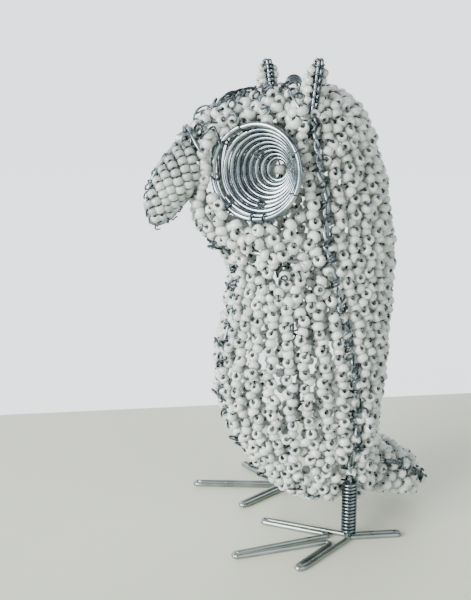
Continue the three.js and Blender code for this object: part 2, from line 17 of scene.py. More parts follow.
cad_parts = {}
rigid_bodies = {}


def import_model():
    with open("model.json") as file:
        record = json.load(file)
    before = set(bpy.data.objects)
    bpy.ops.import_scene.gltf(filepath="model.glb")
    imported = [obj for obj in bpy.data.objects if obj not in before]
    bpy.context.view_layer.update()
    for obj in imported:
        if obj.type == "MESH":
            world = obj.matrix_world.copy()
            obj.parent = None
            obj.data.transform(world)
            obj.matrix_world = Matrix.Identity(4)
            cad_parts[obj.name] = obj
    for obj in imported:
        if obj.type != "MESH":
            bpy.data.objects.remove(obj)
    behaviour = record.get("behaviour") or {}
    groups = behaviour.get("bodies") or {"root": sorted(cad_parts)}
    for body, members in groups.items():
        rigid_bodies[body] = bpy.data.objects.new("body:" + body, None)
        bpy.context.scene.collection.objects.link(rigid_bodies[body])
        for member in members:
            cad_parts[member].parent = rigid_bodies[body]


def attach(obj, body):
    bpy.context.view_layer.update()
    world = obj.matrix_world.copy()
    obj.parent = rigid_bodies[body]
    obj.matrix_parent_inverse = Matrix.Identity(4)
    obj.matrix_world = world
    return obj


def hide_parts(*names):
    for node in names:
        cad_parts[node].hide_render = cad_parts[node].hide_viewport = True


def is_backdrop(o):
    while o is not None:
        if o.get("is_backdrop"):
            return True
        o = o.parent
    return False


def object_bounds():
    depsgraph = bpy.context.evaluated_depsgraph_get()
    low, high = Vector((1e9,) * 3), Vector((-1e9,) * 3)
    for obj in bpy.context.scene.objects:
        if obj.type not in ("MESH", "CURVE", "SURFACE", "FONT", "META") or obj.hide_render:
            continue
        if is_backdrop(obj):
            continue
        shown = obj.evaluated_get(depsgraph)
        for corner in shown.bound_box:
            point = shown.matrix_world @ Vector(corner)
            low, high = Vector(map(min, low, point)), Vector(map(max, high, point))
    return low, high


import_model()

MM = 0.001
cad_low, cad_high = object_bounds()
print("frame box in mm:", [round(v / MM, 1) for v in (*cad_low, *cad_high)])

# %% [markdown]
# The camera comes first, because it says which details can be seen. It stands in front of the owl's
# left side, a little above its eyes, and looks down by twelve degrees.

# %% Camera at the photograph's view
camera_data = bpy.data.cameras.new("camera")
camera_data.lens = 48
camera_data.sensor_width = 36
camera = bpy.data.objects.new("camera", camera_data)
camera.location = (0.27257, -0.11994, 0.14872)
CAMERA_TILT = math.radians(78)
CAMERA_TURN = math.radians(70)
camera.rotation_euler = (CAMERA_TILT, 0, CAMERA_TURN)
bpy.context.scene.collection.objects.link(camera)
bpy.context.scene.camera = camera
print("camera stands", round(camera.location.length, 3), "m from the owl's feet")

# %% [markdown]
# The owl's form is given by thirteen rings from the crown to the underside, in hundredths of its
# height. A ring starts at the front, is widest at the side seam and ends at the back. Smooth curves
# through the rings give every point between them, so that a bead can be placed by two numbers:
# how far down it is, from 0 to 1, and how far round it is, 0 front, 1 seam and 2 back.

# %% The owl's form
SHARE = 1.75                     # one hundredth of the height, in mm
SHIFT = np.array([6.2607, 14.0386, 0.0])   # from the owl's middle plane to the frame's origin
RINGS = [
    # front y, front z, back y, back z, half width, seam y
    (-11.9, 93.8, -5.7, 94.3, 3.1, -8.8),
    (-19.5, 92.3, 0.6, 93.2, 9.7, -10.1),
    (-27.7, 88.9, 6.0, 88.3, 13.7, -10.7),
    (-32.4, 82.3, 9.6, 79.8, 15.8, -10.1),
    (-31.7, 72.9, 12.3, 69.8, 16.5, -8.8),
    (-29.2, 65.4, 13.7, 61.0, 16.3, -7.9),
    (-22.9, 58.1, 13.7, 52.8, 16.0, -5.7),
    (-22.9, 49.7, 12.5, 43.4, 16.3, -3.1),
    (-25.5, 37.7, 11.0, 32.1, 16.6, -0.9),
    (-24.2, 26.4, 9.7, 22.3, 16.1, 0.0),
    (-19.5, 17.0, 10.4, 15.7, 15.2, -0.6),
    (-12.9, 8.8, 9.4, 8.2, 12.6, -0.9),
    (-3.6, 5.0, 1.4, 5.0, 3.2, -1.1),
]
RINGS = np.array(RINGS) * SHARE
NECK = 5.6 / 12                  # where the face net meets the breast net
FACE_FULLNESS = 1.65
BODY_FULLNESS = 2.2


def smooth_curve(points, t):
    """Points at t, from 0 to 1, on a smooth curve through the given ones."""
    points = np.asarray(points, float)
    last = len(points) - 1
    place = np.clip(np.asarray(t, float), 0, 1) * last
    index = np.minimum(place.astype(int), last - 1)
    part = (place - index)[..., None]
    padded = np.vstack([2 * points[0] - points[1], points, 2 * points[-1] - points[-2]])
    before, start, end, after = (padded[index + k] for k in range(4))
    leave = (end - before) / 2
    arrive = (after - start) / 2
    squared = part * part
    cubed = squared * part
    return (
        start
        + leave * part
        + (3 * (end - start) - 2 * leave - arrive) * squared
        + (2 * (start - end) + leave + arrive) * cubed
    )


def form_point(t, turn):
    """Points of the owl's left half, in mm, for arrays of t and turn."""
    t, turn = np.broadcast_arrays(np.asarray(t, float), np.asarray(turn, float))
    front = smooth_curve(RINGS[:, 0:2], t)
    back = smooth_curve(RINGS[:, 2:4], t)
    width = smooth_curve(RINGS[:, 4:6], t)
    along = (width[..., 1] - front[..., 0]) / (back[..., 0] - front[..., 0])
    middle = front + (back - front) * along[..., None]
    is_front = turn <= 1
    end = np.where(is_front[..., None], front, back)
    step = np.clip((t - (NECK - 0.1)) / 0.2, 0, 1)
    blend = np.where(is_front, step * step * (3 - 2 * step), 1)
    fullness = FACE_FULLNESS + (BODY_FULLNESS - FACE_FULLNESS) * blend
    angle = np.where(is_front, turn, 2 - turn) * math.pi / 2
    lengthways = np.clip(np.cos(angle), 0, 1) ** (2 / fullness)
    sideways = np.clip(np.sin(angle), 0, 1) ** (2 / fullness)
    flat = middle + (end - middle) * lengthways[..., None]
    return np.stack([width[..., 0] * sideways, flat[..., 0], flat[..., 1]], axis=-1)


def unit(vectors):
    vectors = np.asarray(vectors, float)
    return vectors / np.maximum(np.linalg.norm(vectors, axis=-1, keepdims=True), 1e-9)


def form_directions(t, turn):
    """The outward and the upward direction of the form at arrays of t and turn."""
    t, turn = np.broadcast_arrays(np.asarray(t, float), np.asarray(turn, float))
    low = np.where(turn < 1, 0.002, 1.002)
    high = np.where(turn < 1, 0.998, 1.998)
    downward = form_point(np.minimum(t + 0.01, 1), turn) - form_point(np.maximum(t - 0.01, 0), turn)
    around = form_point(t, np.minimum(turn + 0.01, high)) - form_point(t, np.maximum(turn - 0.01, low))
    outward = unit(np.cross(downward, around))
    upward = unit(-downward)
    return outward, upward


sample = form_point(np.array([0.5]), np.array([1.0]))[0]
print("side seam half way down, in mm:", np.round(sample, 1))

# %% [markdown]
# One small function adds a node with its settings and its links, for materials and for Geometry
# Nodes alike. A colour is given as it looks on a screen and is turned to linear light here. Lines
# are measured and divided evenly here too.

# %% Helpers for nodes, colours and lines
SIDES = (("left", 1), ("right", -1))


def add(tree, kind, inputs=None, **settings):
    """Adds a node. An input's value is a plain value, or an output socket to link from."""
    made = tree.nodes.new(kind)
    for name, value in settings.items():
        setattr(made, name, value)
    for name, value in (inputs or {}).items():
        socket = made.inputs[name]
        if isinstance(value, bpy.types.NodeSocket):
            tree.links.new(value, socket)
        else:
            socket.default_value = value
    return made


def linear(colour):
    """The linear colour of an sRGB hex value such as #E3E5E1."""
    parts = [int(colour[i:i + 2], 16) / 255 for i in (1, 3, 5)]
    turned = [v / 12.92 if v <= 0.04045 else ((v + 0.055) / 1.055) ** 2.4 for v in parts]
    return (*turned, 1.0)


def to_scene(points, side=1):
    """Owl millimetres to scene metres; side -1 mirrors them to the owl's right."""
    points = np.asarray(points, float) * np.array([side, 1, 1])
    return (points + SHIFT) * MM


def steps_along(points):
    """The distances from each point of a line to the next."""
    return np.linalg.norm(np.diff(points, axis=0), axis=1)


def reach_along(points):
    """How far along a line each of its points lies."""
    return np.concatenate([[0], np.cumsum(steps_along(points))])


def evenly(points, spacing):
    """Points at even distances on the line through the given ones."""
    points = np.asarray(points, float)
    reach = reach_along(points)
    wanted = np.linspace(0, reach[-1], max(2, round(reach[-1] / spacing) + 1))
    return np.stack([np.interp(wanted, reach, points[:, k]) for k in range(points.shape[1])], axis=1)


# %% [markdown]
# The materials are put together from the same few parts: noise, a change of one range of values
# into another, a ramp between two colours, bumps and the shader.

# %% Helpers for materials
def new_material(name):
    """An empty material, its tree, and the object's own coordinates."""
    material = bpy.data.materials.new(name)
    material.use_nodes = True
    tree = material.node_tree
    tree.nodes.clear()
    return material, tree, add(tree, "ShaderNodeTexCoord").outputs["Object"]


def noise(tree, place, scale, detail):
    made = add(tree, "ShaderNodeTexNoise", {"Vector": place, "Scale": scale, "Detail": detail})
    return made.outputs["Fac"]


def tones(tree, factor, dark, pale):
    """The colours between a dark and a pale one."""
    ramp = add(tree, "ShaderNodeValToRGB", {"Fac": factor})
    ramp.color_ramp.elements[0].color = linear(dark)
    ramp.color_ramp.elements[1].color = linear(pale)
    return ramp.outputs["Color"]


def map_range(tree, value, low, high, start=0.0, end=1.0):
    """Turns values from start to end into values from low to high."""
    ranges = {"From Min": start, "From Max": end, "To Min": low, "To Max": high}
    return add(tree, "ShaderNodeMapRange", {"Value": value, **ranges}).outputs["Result"]


def bumps(tree, height, strength, distance):
    settings = {"Height": height, "Strength": strength, "Distance": distance}
    return add(tree, "ShaderNodeBump", settings).outputs["Normal"]


def shade(tree, inputs):
    """The shader with its inputs, and the output node."""
    shader = add(tree, "ShaderNodeBsdfPrincipled", inputs)
    add(tree, "ShaderNodeOutputMaterial", {"Surface": shader.outputs["BSDF"]})


# %% [markdown]
# The beads are opaque white glass, pressed and tumbled, so that they are smooth but not mirror
# bright. A little light enters them and softens their shadows. The white is not the same in all
# of them, so each bead carries its own tone. The small beads of the beak get a greyer copy of the
# same glass, which is painted shade. A fine unevenness of the glass breaks the highlights.

# %% Materials: opaque white glass beads
def white_glass(name, dull, pale):
    material, tree, place = new_material(name)
    tone = add(tree, "ShaderNodeAttribute", attribute_name="bead_tone").outputs["Fac"]
    # unevenness of the pressed glass, about 0.8 mm
    ripple = noise(tree, place, 1250.0, 2.0)
    # handling leaves some beads duller than others, in patches about 12 mm wide
    patch = noise(tree, place, 80.0, 3.0)
    shade(tree, {
        "Base Color": tones(tree, tone, dull, pale),
        "Roughness": map_range(tree, patch, 0.12, 0.3),
        "IOR": 1.5,
        "Specular IOR Level": 0.8,
        "Subsurface Weight": 0.12,
        "Subsurface Radius": (1.0, 1.0, 1.0),
        "Subsurface Scale": 0.0008,
        "Normal": bumps(tree, ripple, 0.12, 0.0002),
    })
    return material


glass = white_glass("opaque_white_pressed_glass", "#B3BAB5", "#DBE0DB")
# the beak's glass is the same white glass made greyer: painted shade, not a different glass
shaded_beak_glass = white_glass("white_pressed_glass_with_painted_shade", "#989F9C", "#C9CFCB")
print("made", glass.name, "and", shaded_beak_glass.name)

# %% [markdown]
# All wire is drawn steel with a coat of zinc. The frame is dull grey with paler clouds where the
# zinc has weathered, and the feet are smoother. The binding wire is thin and darker, and so is the
# winding of the legs. The wire of the eyes is fresh and bright, with fine marks along it from drawing.

# %% Materials: five finishes of galvanised wire
def zinc_wire(name, dark, pale, rough_from, rough_to, cloud_scale):
    material, tree, place = new_material(name)
    cloud = map_range(tree, noise(tree, place, cloud_scale, 4.0), 0.0, 1.0, 0.35, 0.65)
    # drawing marks and zinc grain, about 0.3 mm
    grain = noise(tree, place, 3200.0, 2.0)
    shade(tree, {
        "Base Color": tones(tree, cloud, dark, pale),
        "Metallic": 1.0,
        "Roughness": map_range(tree, cloud, rough_from, rough_to),
        "Normal": bumps(tree, grain, 0.15, 0.0001),
    })
    return material


frame_zinc = zinc_wire("galvanised_frame_wire", "#78828A", "#B0B9BC", 0.26, 0.4, 220.0)
foot_zinc = zinc_wire("smooth_galvanised_foot_wire", "#8D9693", "#A9B1AD", 0.26, 0.34, 90.0)
thin_zinc = zinc_wire("thin_galvanised_binding_wire", "#2B3236", "#6F797E", 0.2, 0.38, 400.0)
leg_zinc = zinc_wire("dull_galvanised_winding_wire", "#646E73", "#8E989C", 0.18, 0.28, 150.0)
bright_zinc = zinc_wire("bright_drawn_eye_wire", "#66737B", "#B2BBBF", 0.12, 0.2, 120.0)
print("made", frame_zinc.name, foot_zinc.name, thin_zinc.name, leg_zinc.name, bright_zinc.name)

# %% [markdown]
# Three Geometry Nodes trees make the beads, the wires and the eyes' spirals. They share their first
# and last nodes. For each piece one of them is run on a mesh, and the result is kept.

# %% Helpers for Geometry Nodes
def new_tree(name, sockets):
    """A tree with named inputs after its geometry, and the sockets of those inputs."""
    tree = bpy.data.node_groups.new(name, "GeometryNodeTree")
    tree.interface.new_socket("Geometry", in_out="INPUT", socket_type="NodeSocketGeometry")
    for socket_name, kind in sockets.items():
        tree.interface.new_socket(socket_name, in_out="INPUT", socket_type="NodeSocket" + kind)
    tree.interface.new_socket("Geometry", in_out="OUTPUT", socket_type="NodeSocketGeometry")
    return tree, add(tree, "NodeGroupInput").outputs


def calculate(tree, operation, first, second):
    return add(tree, "ShaderNodeMath", {0: first, 1: second}, operation=operation).outputs[0]


def round_wire(tree, line, diameter, sides):
    """The mesh of a wire with closed ends along a curve."""
    radius = calculate(tree, "MULTIPLY", diameter, 0.5)
    section = add(tree, "GeometryNodeCurvePrimitiveCircle", {"Resolution": sides, "Radius": radius})
    swept = {"Curve": line, "Profile Curve": section.outputs["Curve"], "Fill Caps": True}
    return add(tree, "GeometryNodeCurveToMesh", swept).outputs["Mesh"]


def finish_tree(tree, mesh, material):
    """Ends a tree with one plain mesh, shaded smooth, in its material."""
    real = add(tree, "GeometryNodeRealizeInstances", {"Geometry": mesh})
    smooth = add(tree, "GeometryNodeSetShadeSmooth", {"Geometry": real.outputs["Geometry"]})
    painted = add(tree, "GeometryNodeSetMaterial", {
        "Geometry": smooth.outputs["Geometry"], "Material": material})
    add(tree, "NodeGroupOutput", {"Geometry": painted.outputs["Geometry"]})
    return tree


def triangles(piece):
    return sum(len(face.vertices) - 2 for face in piece.data.polygons)


def grow(name, mesh, tree, values):
    """Runs a tree on a mesh with its inputs set, and keeps the result as a plain mesh."""
    piece = bpy.data.objects.new(name, mesh)
    bpy.context.scene.collection.objects.link(piece)
    modifier = piece.modifiers.new(name, "NODES")
    modifier.node_group = tree
    for item in tree.interface.items_tree:
        if item.item_type == "SOCKET" and item.in_out == "INPUT" and item.name in values:
            modifier[item.identifier] = values[item.name]
    depsgraph = bpy.context.evaluated_depsgraph_get()
    grown = bpy.data.meshes.new_from_object(piece.evaluated_get(depsgraph))
    piece.modifiers.clear()
    piece.data = grown
    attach(piece, "root")
    return piece

# %% [markdown]
# A bead is a short ring with rounded shoulders: 4 mm across, 3 mm long and with a hole of 1.3 mm.
# The tree sweeps a six-cornered section round a circle of twelve steps, which is enough faces for
# a shape that is repeated some thousands of times. It then sets one bead on every point, turns its
# hole along the point's own axis, and gives it a little more or less size and its own tone.

# %% Geometry Nodes: beads on points
HEXAGON_WIDTH = 0.866            # half the width of a hexagon, as a share of its radius


def bead_tree():
    tree, given = new_tree("beads_on_points", {
        "Bead diameter": "Float",
        "Bead length": "Float",
        "Hole diameter": "Float",
        "Size spread": "Float",
        "Seed": "Int",
        "Material": "Material",
    })
    across, hole, spread = given["Bead diameter"], given["Hole diameter"], given["Size spread"]
    ring_radius = calculate(tree, "MULTIPLY", calculate(tree, "ADD", across, hole), 0.25)
    wall = calculate(tree, "SUBTRACT", across, hole)
    half_wall = calculate(tree, "MULTIPLY", wall, 0.25 / HEXAGON_WIDTH)
    half_length = calculate(tree, "MULTIPLY", given["Bead length"], 0.5)
    ring = add(tree, "GeometryNodeCurvePrimitiveCircle", {"Resolution": 12, "Radius": ring_radius})
    section = add(tree, "GeometryNodeCurvePrimitiveCircle", {"Resolution": 6, "Radius": 1.0})
    turned = add(tree, "GeometryNodeTransform", {
        "Geometry": section.outputs["Curve"], "Rotation": (0, 0, math.radians(30))})
    sizes = add(tree, "ShaderNodeCombineXYZ", {0: half_wall, 1: half_length, 2: 1.0})
    shaped = add(tree, "GeometryNodeTransform", {"Geometry": turned.outputs[0], "Scale": sizes.outputs[0]})
    bead = add(tree, "GeometryNodeCurveToMesh", {
        "Curve": ring.outputs["Curve"], "Profile Curve": shaped.outputs[0]})
    axis = add(tree, "GeometryNodeInputNamedAttribute", {"Name": "axis"}, data_type="FLOAT_VECTOR")
    turn = add(tree, "FunctionNodeAlignRotationToVector", {"Vector": axis.outputs["Attribute"]}, axis="Z")
    # the random node's sockets 2 and 3 are the least and the most of a plain number
    size = add(tree, "FunctionNodeRandomValue", {
        2: calculate(tree, "SUBTRACT", 1.0, spread),
        3: calculate(tree, "ADD", 1.0, spread),
        "Seed": given["Seed"],
    }, data_type="FLOAT")
    placed = add(tree, "GeometryNodeInstanceOnPoints", {
        "Points": given["Geometry"],
        "Instance": bead.outputs["Mesh"],
        "Rotation": turn.outputs["Rotation"],
        "Scale": size.outputs[1],
    })
    tone = add(tree, "FunctionNodeRandomValue", {"Seed": given["Seed"]}, data_type="FLOAT")
    toned = add(tree, "GeometryNodeStoreNamedAttribute", {
        "Geometry": placed.outputs["Instances"], "Name": "bead_tone", "Value": tone.outputs[1]},
        domain="INSTANCE", data_type="FLOAT")
    return finish_tree(tree, toned.outputs["Geometry"], given["Material"])


beads_on_points = bead_tree()
box_low, box_high = np.array(cad_low), np.array(cad_high)


def make_beads(name, centres, axes, sizes, seed, side=1, spread=0.05, material=glass):
    """One piece of beads, from middles and hole directions. Sizes are across, along and the hole."""
    diameter, length, hole = sizes
    room = diameter * (1 + spread) * MM / 2
    centres = np.clip(to_scene(centres, side), box_low + room, box_high - room)
    axes = np.asarray(axes, float) * np.array([side, 1, 1])
    mesh = bpy.data.meshes.new(name)
    mesh.from_pydata([tuple(point) for point in centres], [], [])
    attribute = mesh.attributes.new("axis", "FLOAT_VECTOR", "POINT")
    attribute.data.foreach_set("vector", np.asarray(axes, np.float32).ravel())
    piece = grow(name, mesh, beads_on_points, {
        "Bead diameter": diameter * MM,
        "Bead length": length * MM,
        "Hole diameter": hole * MM,
        "Size spread": spread,
        "Seed": seed,
        "Material": material,
    })
    print(name, len(centres), "beads,", triangles(piece), "triangles")
    return piece

# %% [markdown]
# Every wire is a line of points that a round section follows. The tree turns the lines into smooth
# curves first, so that a bend needs only a few points, and closes both ends.

# %% Geometry Nodes: round wire along lines
def wire_tree():
    tree, given = new_tree("wire_along_lines", {
        "Wire diameter": "Float",
        "Section sides": "Int",
        "Steps": "Int",
        "Material": "Material",
    })
    lines = add(tree, "GeometryNodeMeshToCurve", {"Mesh": given["Geometry"]})
    bent = add(tree, "GeometryNodeCurveSplineType", {"Curve": lines.outputs["Curve"]},
               spline_type="CATMULL_ROM")
    fine = add(tree, "GeometryNodeSetSplineResolution", {
        "Geometry": bent.outputs["Curve"], "Resolution": given["Steps"]})
    wire = round_wire(tree, fine.outputs["Geometry"], given["Wire diameter"], given["Section sides"])
    return finish_tree(tree, wire, given["Material"])


wire_along_lines = wire_tree()
SMOOTHING_ROOM = 0.1             # mm that a smooth curve may pass its points by


def make_wires(name, lines, diameter, sides, steps, material, side=1):
    """One piece of round wires along lists of points, inside the frame's box."""
    points = []
    edges = []
    room = (diameter / 2 + SMOOTHING_ROOM) * MM
    low = box_low + [room, room, room - SMOOTHING_ROOM * MM]
    high = box_high - room
    for line in lines:
        start = len(points)
        points.extend(tuple(point) for point in np.clip(to_scene(line, side), low, high))
        edges.extend((start + i, start + i + 1) for i in range(len(line) - 1))
    mesh = bpy.data.meshes.new(name)
    mesh.from_pydata(points, edges, [])
    piece = grow(name, mesh, wire_along_lines, {
        "Wire diameter": diameter * MM,
        "Section sides": sides,
        "Steps": steps,
        "Material": material,
    })
    print(name, len(lines), "wires,", triangles(piece), "triangles")
    return piece

# %% [markdown]
# The owl is woven in bobbles. The thin wire comes out of the net through one bead, makes a short
# arc and goes back through a second bead above it, so the lower bead shows its hole and the upper
# one shows its side. Between the columns of bobbles lie deeper beads that join them.
# Beads that overlap are then pushed apart, as real ones push each other into place.

# %% Where the bobbles of a net go
BEAD = 4.0                       # mm across
BEAD_LENGTH = 3.0                # mm along the hole
BEAD_HOLE = 1.3                  # mm
SEAM_ROOM = 2.1                  # from a seam's line to the first bead's middle
random = np.random.default_rng(41)


def net_points(t_range, turn_range, column, pitch, ends, turn_shift=0.0):
    """t and turn of a staggered pattern between two seams: columns side by side, pitch down them."""
    fine = 60
    levels = np.linspace(*t_range, 240)
    middle = form_point(levels, np.full_like(levels, sum(turn_range) / 2))
    down = reach_along(middle)
    turns = np.linspace(*turn_range, fine)
    found = []
    widest = 0
    traces = {}
    for place in np.arange(ends[0], down[-1] - ends[1], pitch / 2):
        t = float(np.interp(place, down, levels))
        trace = form_point(np.full(fine, t), turns)
        reach = reach_along(trace)
        traces[round(place / (pitch / 2))] = (t, reach)
        widest = max(widest, reach[-1])
    columns = max(1, round((widest - 2 * SEAM_ROOM) / column))
    for step, (t, reach) in traces.items():
        free = reach[-1] - 2 * SEAM_ROOM
        fitting = columns if free / columns > 0.78 * column else max(1, int(free / (0.85 * column)))
        for k in range(fitting):
            if (k + step) % 2:
                continue
            wanted = SEAM_ROOM + free * (k + 0.5 + turn_shift) / fitting
            if wanted > reach[-1] - SEAM_ROOM + 0.1:
                continue
            turn = float(np.interp(wanted, reach, turns))
            found.append((t, turn))
    return np.array(found)


HALF_BOBBLE = 1.5                # mm from a bobble's middle to each of its beads
LEAN_SPREAD = 0.32               # radians, how much the bobbles lean to the sides
LOWER_TILT = 38                  # degrees between the lower bead's hole and straight out
UPPER_TILT = 66                  # the same for the upper bead
TILT_SPREAD = 12                 # degrees
INNER_PITCH = 3.8                # mm between the rows of the inner layer


def on_form(places):
    """The point on the form at each place, with its outward and upward directions."""
    outward, upward = form_directions(places[:, 0], places[:, 1])
    return zip(form_point(places[:, 0], places[:, 1]), outward, upward)


def weave(t_range, turn_range, column, pitch, ends, jitter, gaps, sway):
    """The beads of one net on the owl's left: centres, axes, and the pair that each bobble joins."""
    centres = []
    axes = []
    pairs = []
    outer = net_points(t_range, turn_range, column, pitch, ends)
    for point, out, up in on_form(outer):
        sideways = np.cross(out, up)
        lean = random.normal(0, LEAN_SPREAD)
        up = unit(up * math.cos(lean) + sideways * math.sin(lean))
        point = point + sideways * random.normal(0, jitter) + up * random.normal(0, jitter)
        depth = random.normal(0, 0.3)
        tilt = math.radians(random.normal(LOWER_TILT, TILT_SPREAD))
        flat = math.radians(random.normal(UPPER_TILT, TILT_SPREAD))
        start = len(centres)
        centres.append(point - up * HALF_BOBBLE - out * (1.9 + depth))
        axes.append(unit(out * math.cos(tilt) + up * math.sin(tilt) + sideways * random.normal(0, sway)))
        centres.append(point + up * HALF_BOBBLE - out * (2.0 + depth))
        axes.append(unit(out * math.cos(flat) - up * math.sin(flat) + sideways * random.normal(0, sway)))
        pairs.append((start, start + 1))
    inner = net_points(t_range, turn_range, column, INNER_PITCH, ends, turn_shift=0.5)
    for point, out, up in on_form(inner):
        if random.random() < gaps:
            continue
        sideways = np.cross(out, up)
        point = point + sideways * random.normal(0, jitter) + up * random.normal(0, jitter)
        centres.append(point - out * random.uniform(3.9, 5.0))
        axes.append(unit(random.normal(0, 1, 3) + up * 0.8))
    return np.array(centres), np.array(axes), pairs


def push_apart(centres, rounds=14, least=3.2):
    """Moves beads that overlap away from each other, and never far from where they were."""
    home = centres.copy()
    for _ in range(rounds):
        tree = KDTree(len(centres))
        for index, point in enumerate(centres):
            tree.insert(point, index)
        tree.balance()
        move = np.zeros_like(centres)
        for index, point in enumerate(centres):
            for other, place, distance in tree.find_range(point, least):
                if place == index or distance < 1e-6:
                    continue
                move[index] += (point - np.array(other)) / distance * (least - distance) * 0.35
        centres = centres + move
        drift = centres - home
        length = np.linalg.norm(drift, axis=1, keepdims=True)
        centres = home + drift * np.minimum(1, 1.3 / np.maximum(length, 1e-9))
    return centres


first = net_points((0.5, 0.95), (0, 1), 7.2, 5.9, (2.0, 2.0))
print("bobbles on the left of the breast:", len(first))

# %% [markdown]
# The eyes, the beak, the tail and the legs take room in the nets. Each room is a simple test on a
# bead's middle, so a bead is left out where it would stand in another piece.

# %% Rooms for the eyes, beak, tail and legs
EYE_CENTRE = np.array([10.7, -20.8, 77.2]) * SHARE
EYE_RIM = 16.2                   # outer radius of the eye's wire
EYE_DEPTH = 18.5
EYE_HOLE = 2.5                   # radius inside the innermost turn
EYE_WIRE = 1.5
EYE_STRAND = 1.84                # the drawn wire, a little thicker than the plain one
eye_turn = math.radians(47)
EYE_OUT = np.array([math.cos(eye_turn), -math.sin(eye_turn), 0.0])
EYE_ACROSS = np.array([math.sin(eye_turn), math.cos(eye_turn), 0.0])
# y and z of the beak's two edges from the root to the tip, in hundredths of the height
BEAK_RIDGE = np.array([
    [-31.8, 84.6], [-33.7, 82.0], [-36.0, 79.4], [-37.8, 76.6], [-39.3, 73.3], [-39.7, 70.4]])
BEAK_LOWER = np.array([
    [-29.2, 74.2], [-31.2, 71.9], [-33.3, 69.8], [-34.7, 68.2], [-36.6, 67.2], [-38.4, 67.0]])
BEAK_HALF_WIDTH = 8.0
TAIL_LINE = np.array([[6.5, 12.8], [15.6, 8.6], [22.8, 5.3]]) * SHARE
TAIL_SIZES = np.array([[10.4, 5.8], [9.8, 5.3], [5.8, 3.2]]) * SHARE
TAIL_FULLNESS = 2.7
LEG_X = 24.15
LEG_Y = {"left": -1.2, "right": -4.2}
LEG_TOP = 22.0
LEG_RADIUS = 2.9


def clear_of_eye(points):
    local = points - EYE_CENTRE
    out = local @ EYE_OUT
    radius = np.hypot(local @ EYE_ACROSS, local[:, 2])
    part = np.clip(-(out + EYE_WIRE) / (EYE_DEPTH + 1.0), 0, 1)
    room = EYE_RIM + (EYE_HOLE + EYE_WIRE - EYE_RIM) * part
    return (radius > room + 1.2) | (out > 10) | (out < -EYE_DEPTH - 18)


def nearest_sections(points, middle, size):
    """For each point the nearest section of a curved part, and the way from its middle to the point."""
    gap = points[:, None, 1:] - middle[None]
    nearest = np.argmin(np.linalg.norm(gap, axis=2) / size, axis=1)
    return nearest, gap[np.arange(len(points)), nearest]


def dot(first, second):
    return np.einsum("ij,ij->i", first, second)


def beak_section(s):
    """Middle, half height as a vector and half width of the beak at s, from root to tip."""
    ridge = smooth_curve(BEAK_RIDGE * SHARE, s)
    lower = smooth_curve(BEAK_LOWER * SHARE, s)
    return (ridge + lower) / 2, (ridge - lower) / 2, BEAK_HALF_WIDTH * (1 - 0.8 * s ** 1.5)


def clear_of_beak(points):
    middle, half, width = beak_section(np.linspace(0, 1, 40))
    height = np.linalg.norm(half, axis=1)
    nearest, way = nearest_sections(points, middle, height)
    rise = dot(way, half[nearest] / height[nearest, None])
    inside = (points[:, 0] / (width[nearest] + 1.0)) ** 2 + (rise / (height[nearest] + 1.0)) ** 2 < 1
    in_front = points[:, 1] < middle[0, 0] + 1.5
    return ~(inside & in_front)


def tail_section(s):
    """Middle, along direction and half sizes of the tail at s, from root to tip."""
    s = np.asarray(s, float)
    before = smooth_curve(TAIL_LINE, np.maximum(s - 0.01, 0))
    after = smooth_curve(TAIL_LINE, np.minimum(s + 0.01, 1))
    return smooth_curve(TAIL_LINE, s), unit(after - before), smooth_curve(TAIL_SIZES, s)


def upright(along):
    """The directions at right angles to the given ones, upwards in the middle plane."""
    return np.stack([-along[:, 1], along[:, 0]], axis=1)


def clear_of_tail(points):
    middle, along, sizes = tail_section(np.linspace(0, 1, 40))
    nearest, way = nearest_sections(points, middle, 1)
    rise = dot(way, upright(along)[nearest])
    ahead = dot(way, along[nearest])
    wide = (np.abs(points[:, 0]) / sizes[nearest, 0]) ** TAIL_FULLNESS
    high = (np.abs(rise) / sizes[nearest, 1]) ** TAIL_FULLNESS
    return ~((wide + high < 1) & (np.abs(ahead) < 3))


def clear_of_leg(points, leg_y):
    away = np.hypot(points[:, 0] - LEG_X, points[:, 1] - leg_y)
    return (away > LEG_RADIUS + 1.7) | (points[:, 2] > LEG_TOP + 1.5)


print("rooms are ready")

# %% [markdown]
# Six nets cover the owl: a face, a breast and a back on each side. The back is woven closer than
# the breast, and the face more loosely. Each net is one piece of beads, and takes the place of the
# plain net of the frame. A second piece holds its binding wire, which shows as a dark arc between
# the two beads of a bobble and as a dark end in every hole.

# %% The nets of beads and their binding wire
NETS = {
    # name: t range, turn range, column, pitch, first and last row from the ends,
    # jitter, bead, share of gaps in the inner layer, sideways spread of the holes
    "face": ((0.0, NECK), (0, 1), 7.2, 6.2, (2.2, 1.4), 0.6, 4.1, 0.55, 0.6),
    "breast": ((NECK, 1.0), (0, 1), 7.1, 5.9, (1.8, 2.0), 0.35, 3.75, 0.68, 0.25),
    "back": ((0.0, 1.0), (1, 2), 6.2, 5.7, (2.2, 2.0), 0.4, 3.75, 0.2, 0.25),
}
BINDING = 0.68                   # mm, thickness of the binding wire
ROUNDNESS = 0.77                 # length of a bead, as a share of its width


def binding_lines(centres, axes, pairs):
    """The wire's way through each bead, and its arc where two beads make a bobble."""
    lines = []
    joined = set()
    for low, high in pairs:
        joined.update((low, high))
        lower_out = centres[low] + axes[low] * (BEAD_LENGTH / 2 + 0.15)
        upper_out = centres[high] + axes[high] * (BEAD_LENGTH / 2 + 0.1)
        outside = (lower_out + upper_out) / 2 + (axes[low] + axes[high]) * 0.22
        lines.append([
            centres[low] - axes[low] * 1.9,
            centres[low],
            lower_out,
            outside,
            upper_out,
            centres[high],
            centres[high] - axes[high] * 1.9,
        ])
    for index, (centre, axis) in enumerate(zip(centres, axes)):
        if index not in joined:
            lines.append([centre - axis * 2.0, centre, centre + axis * 2.0])
    return lines


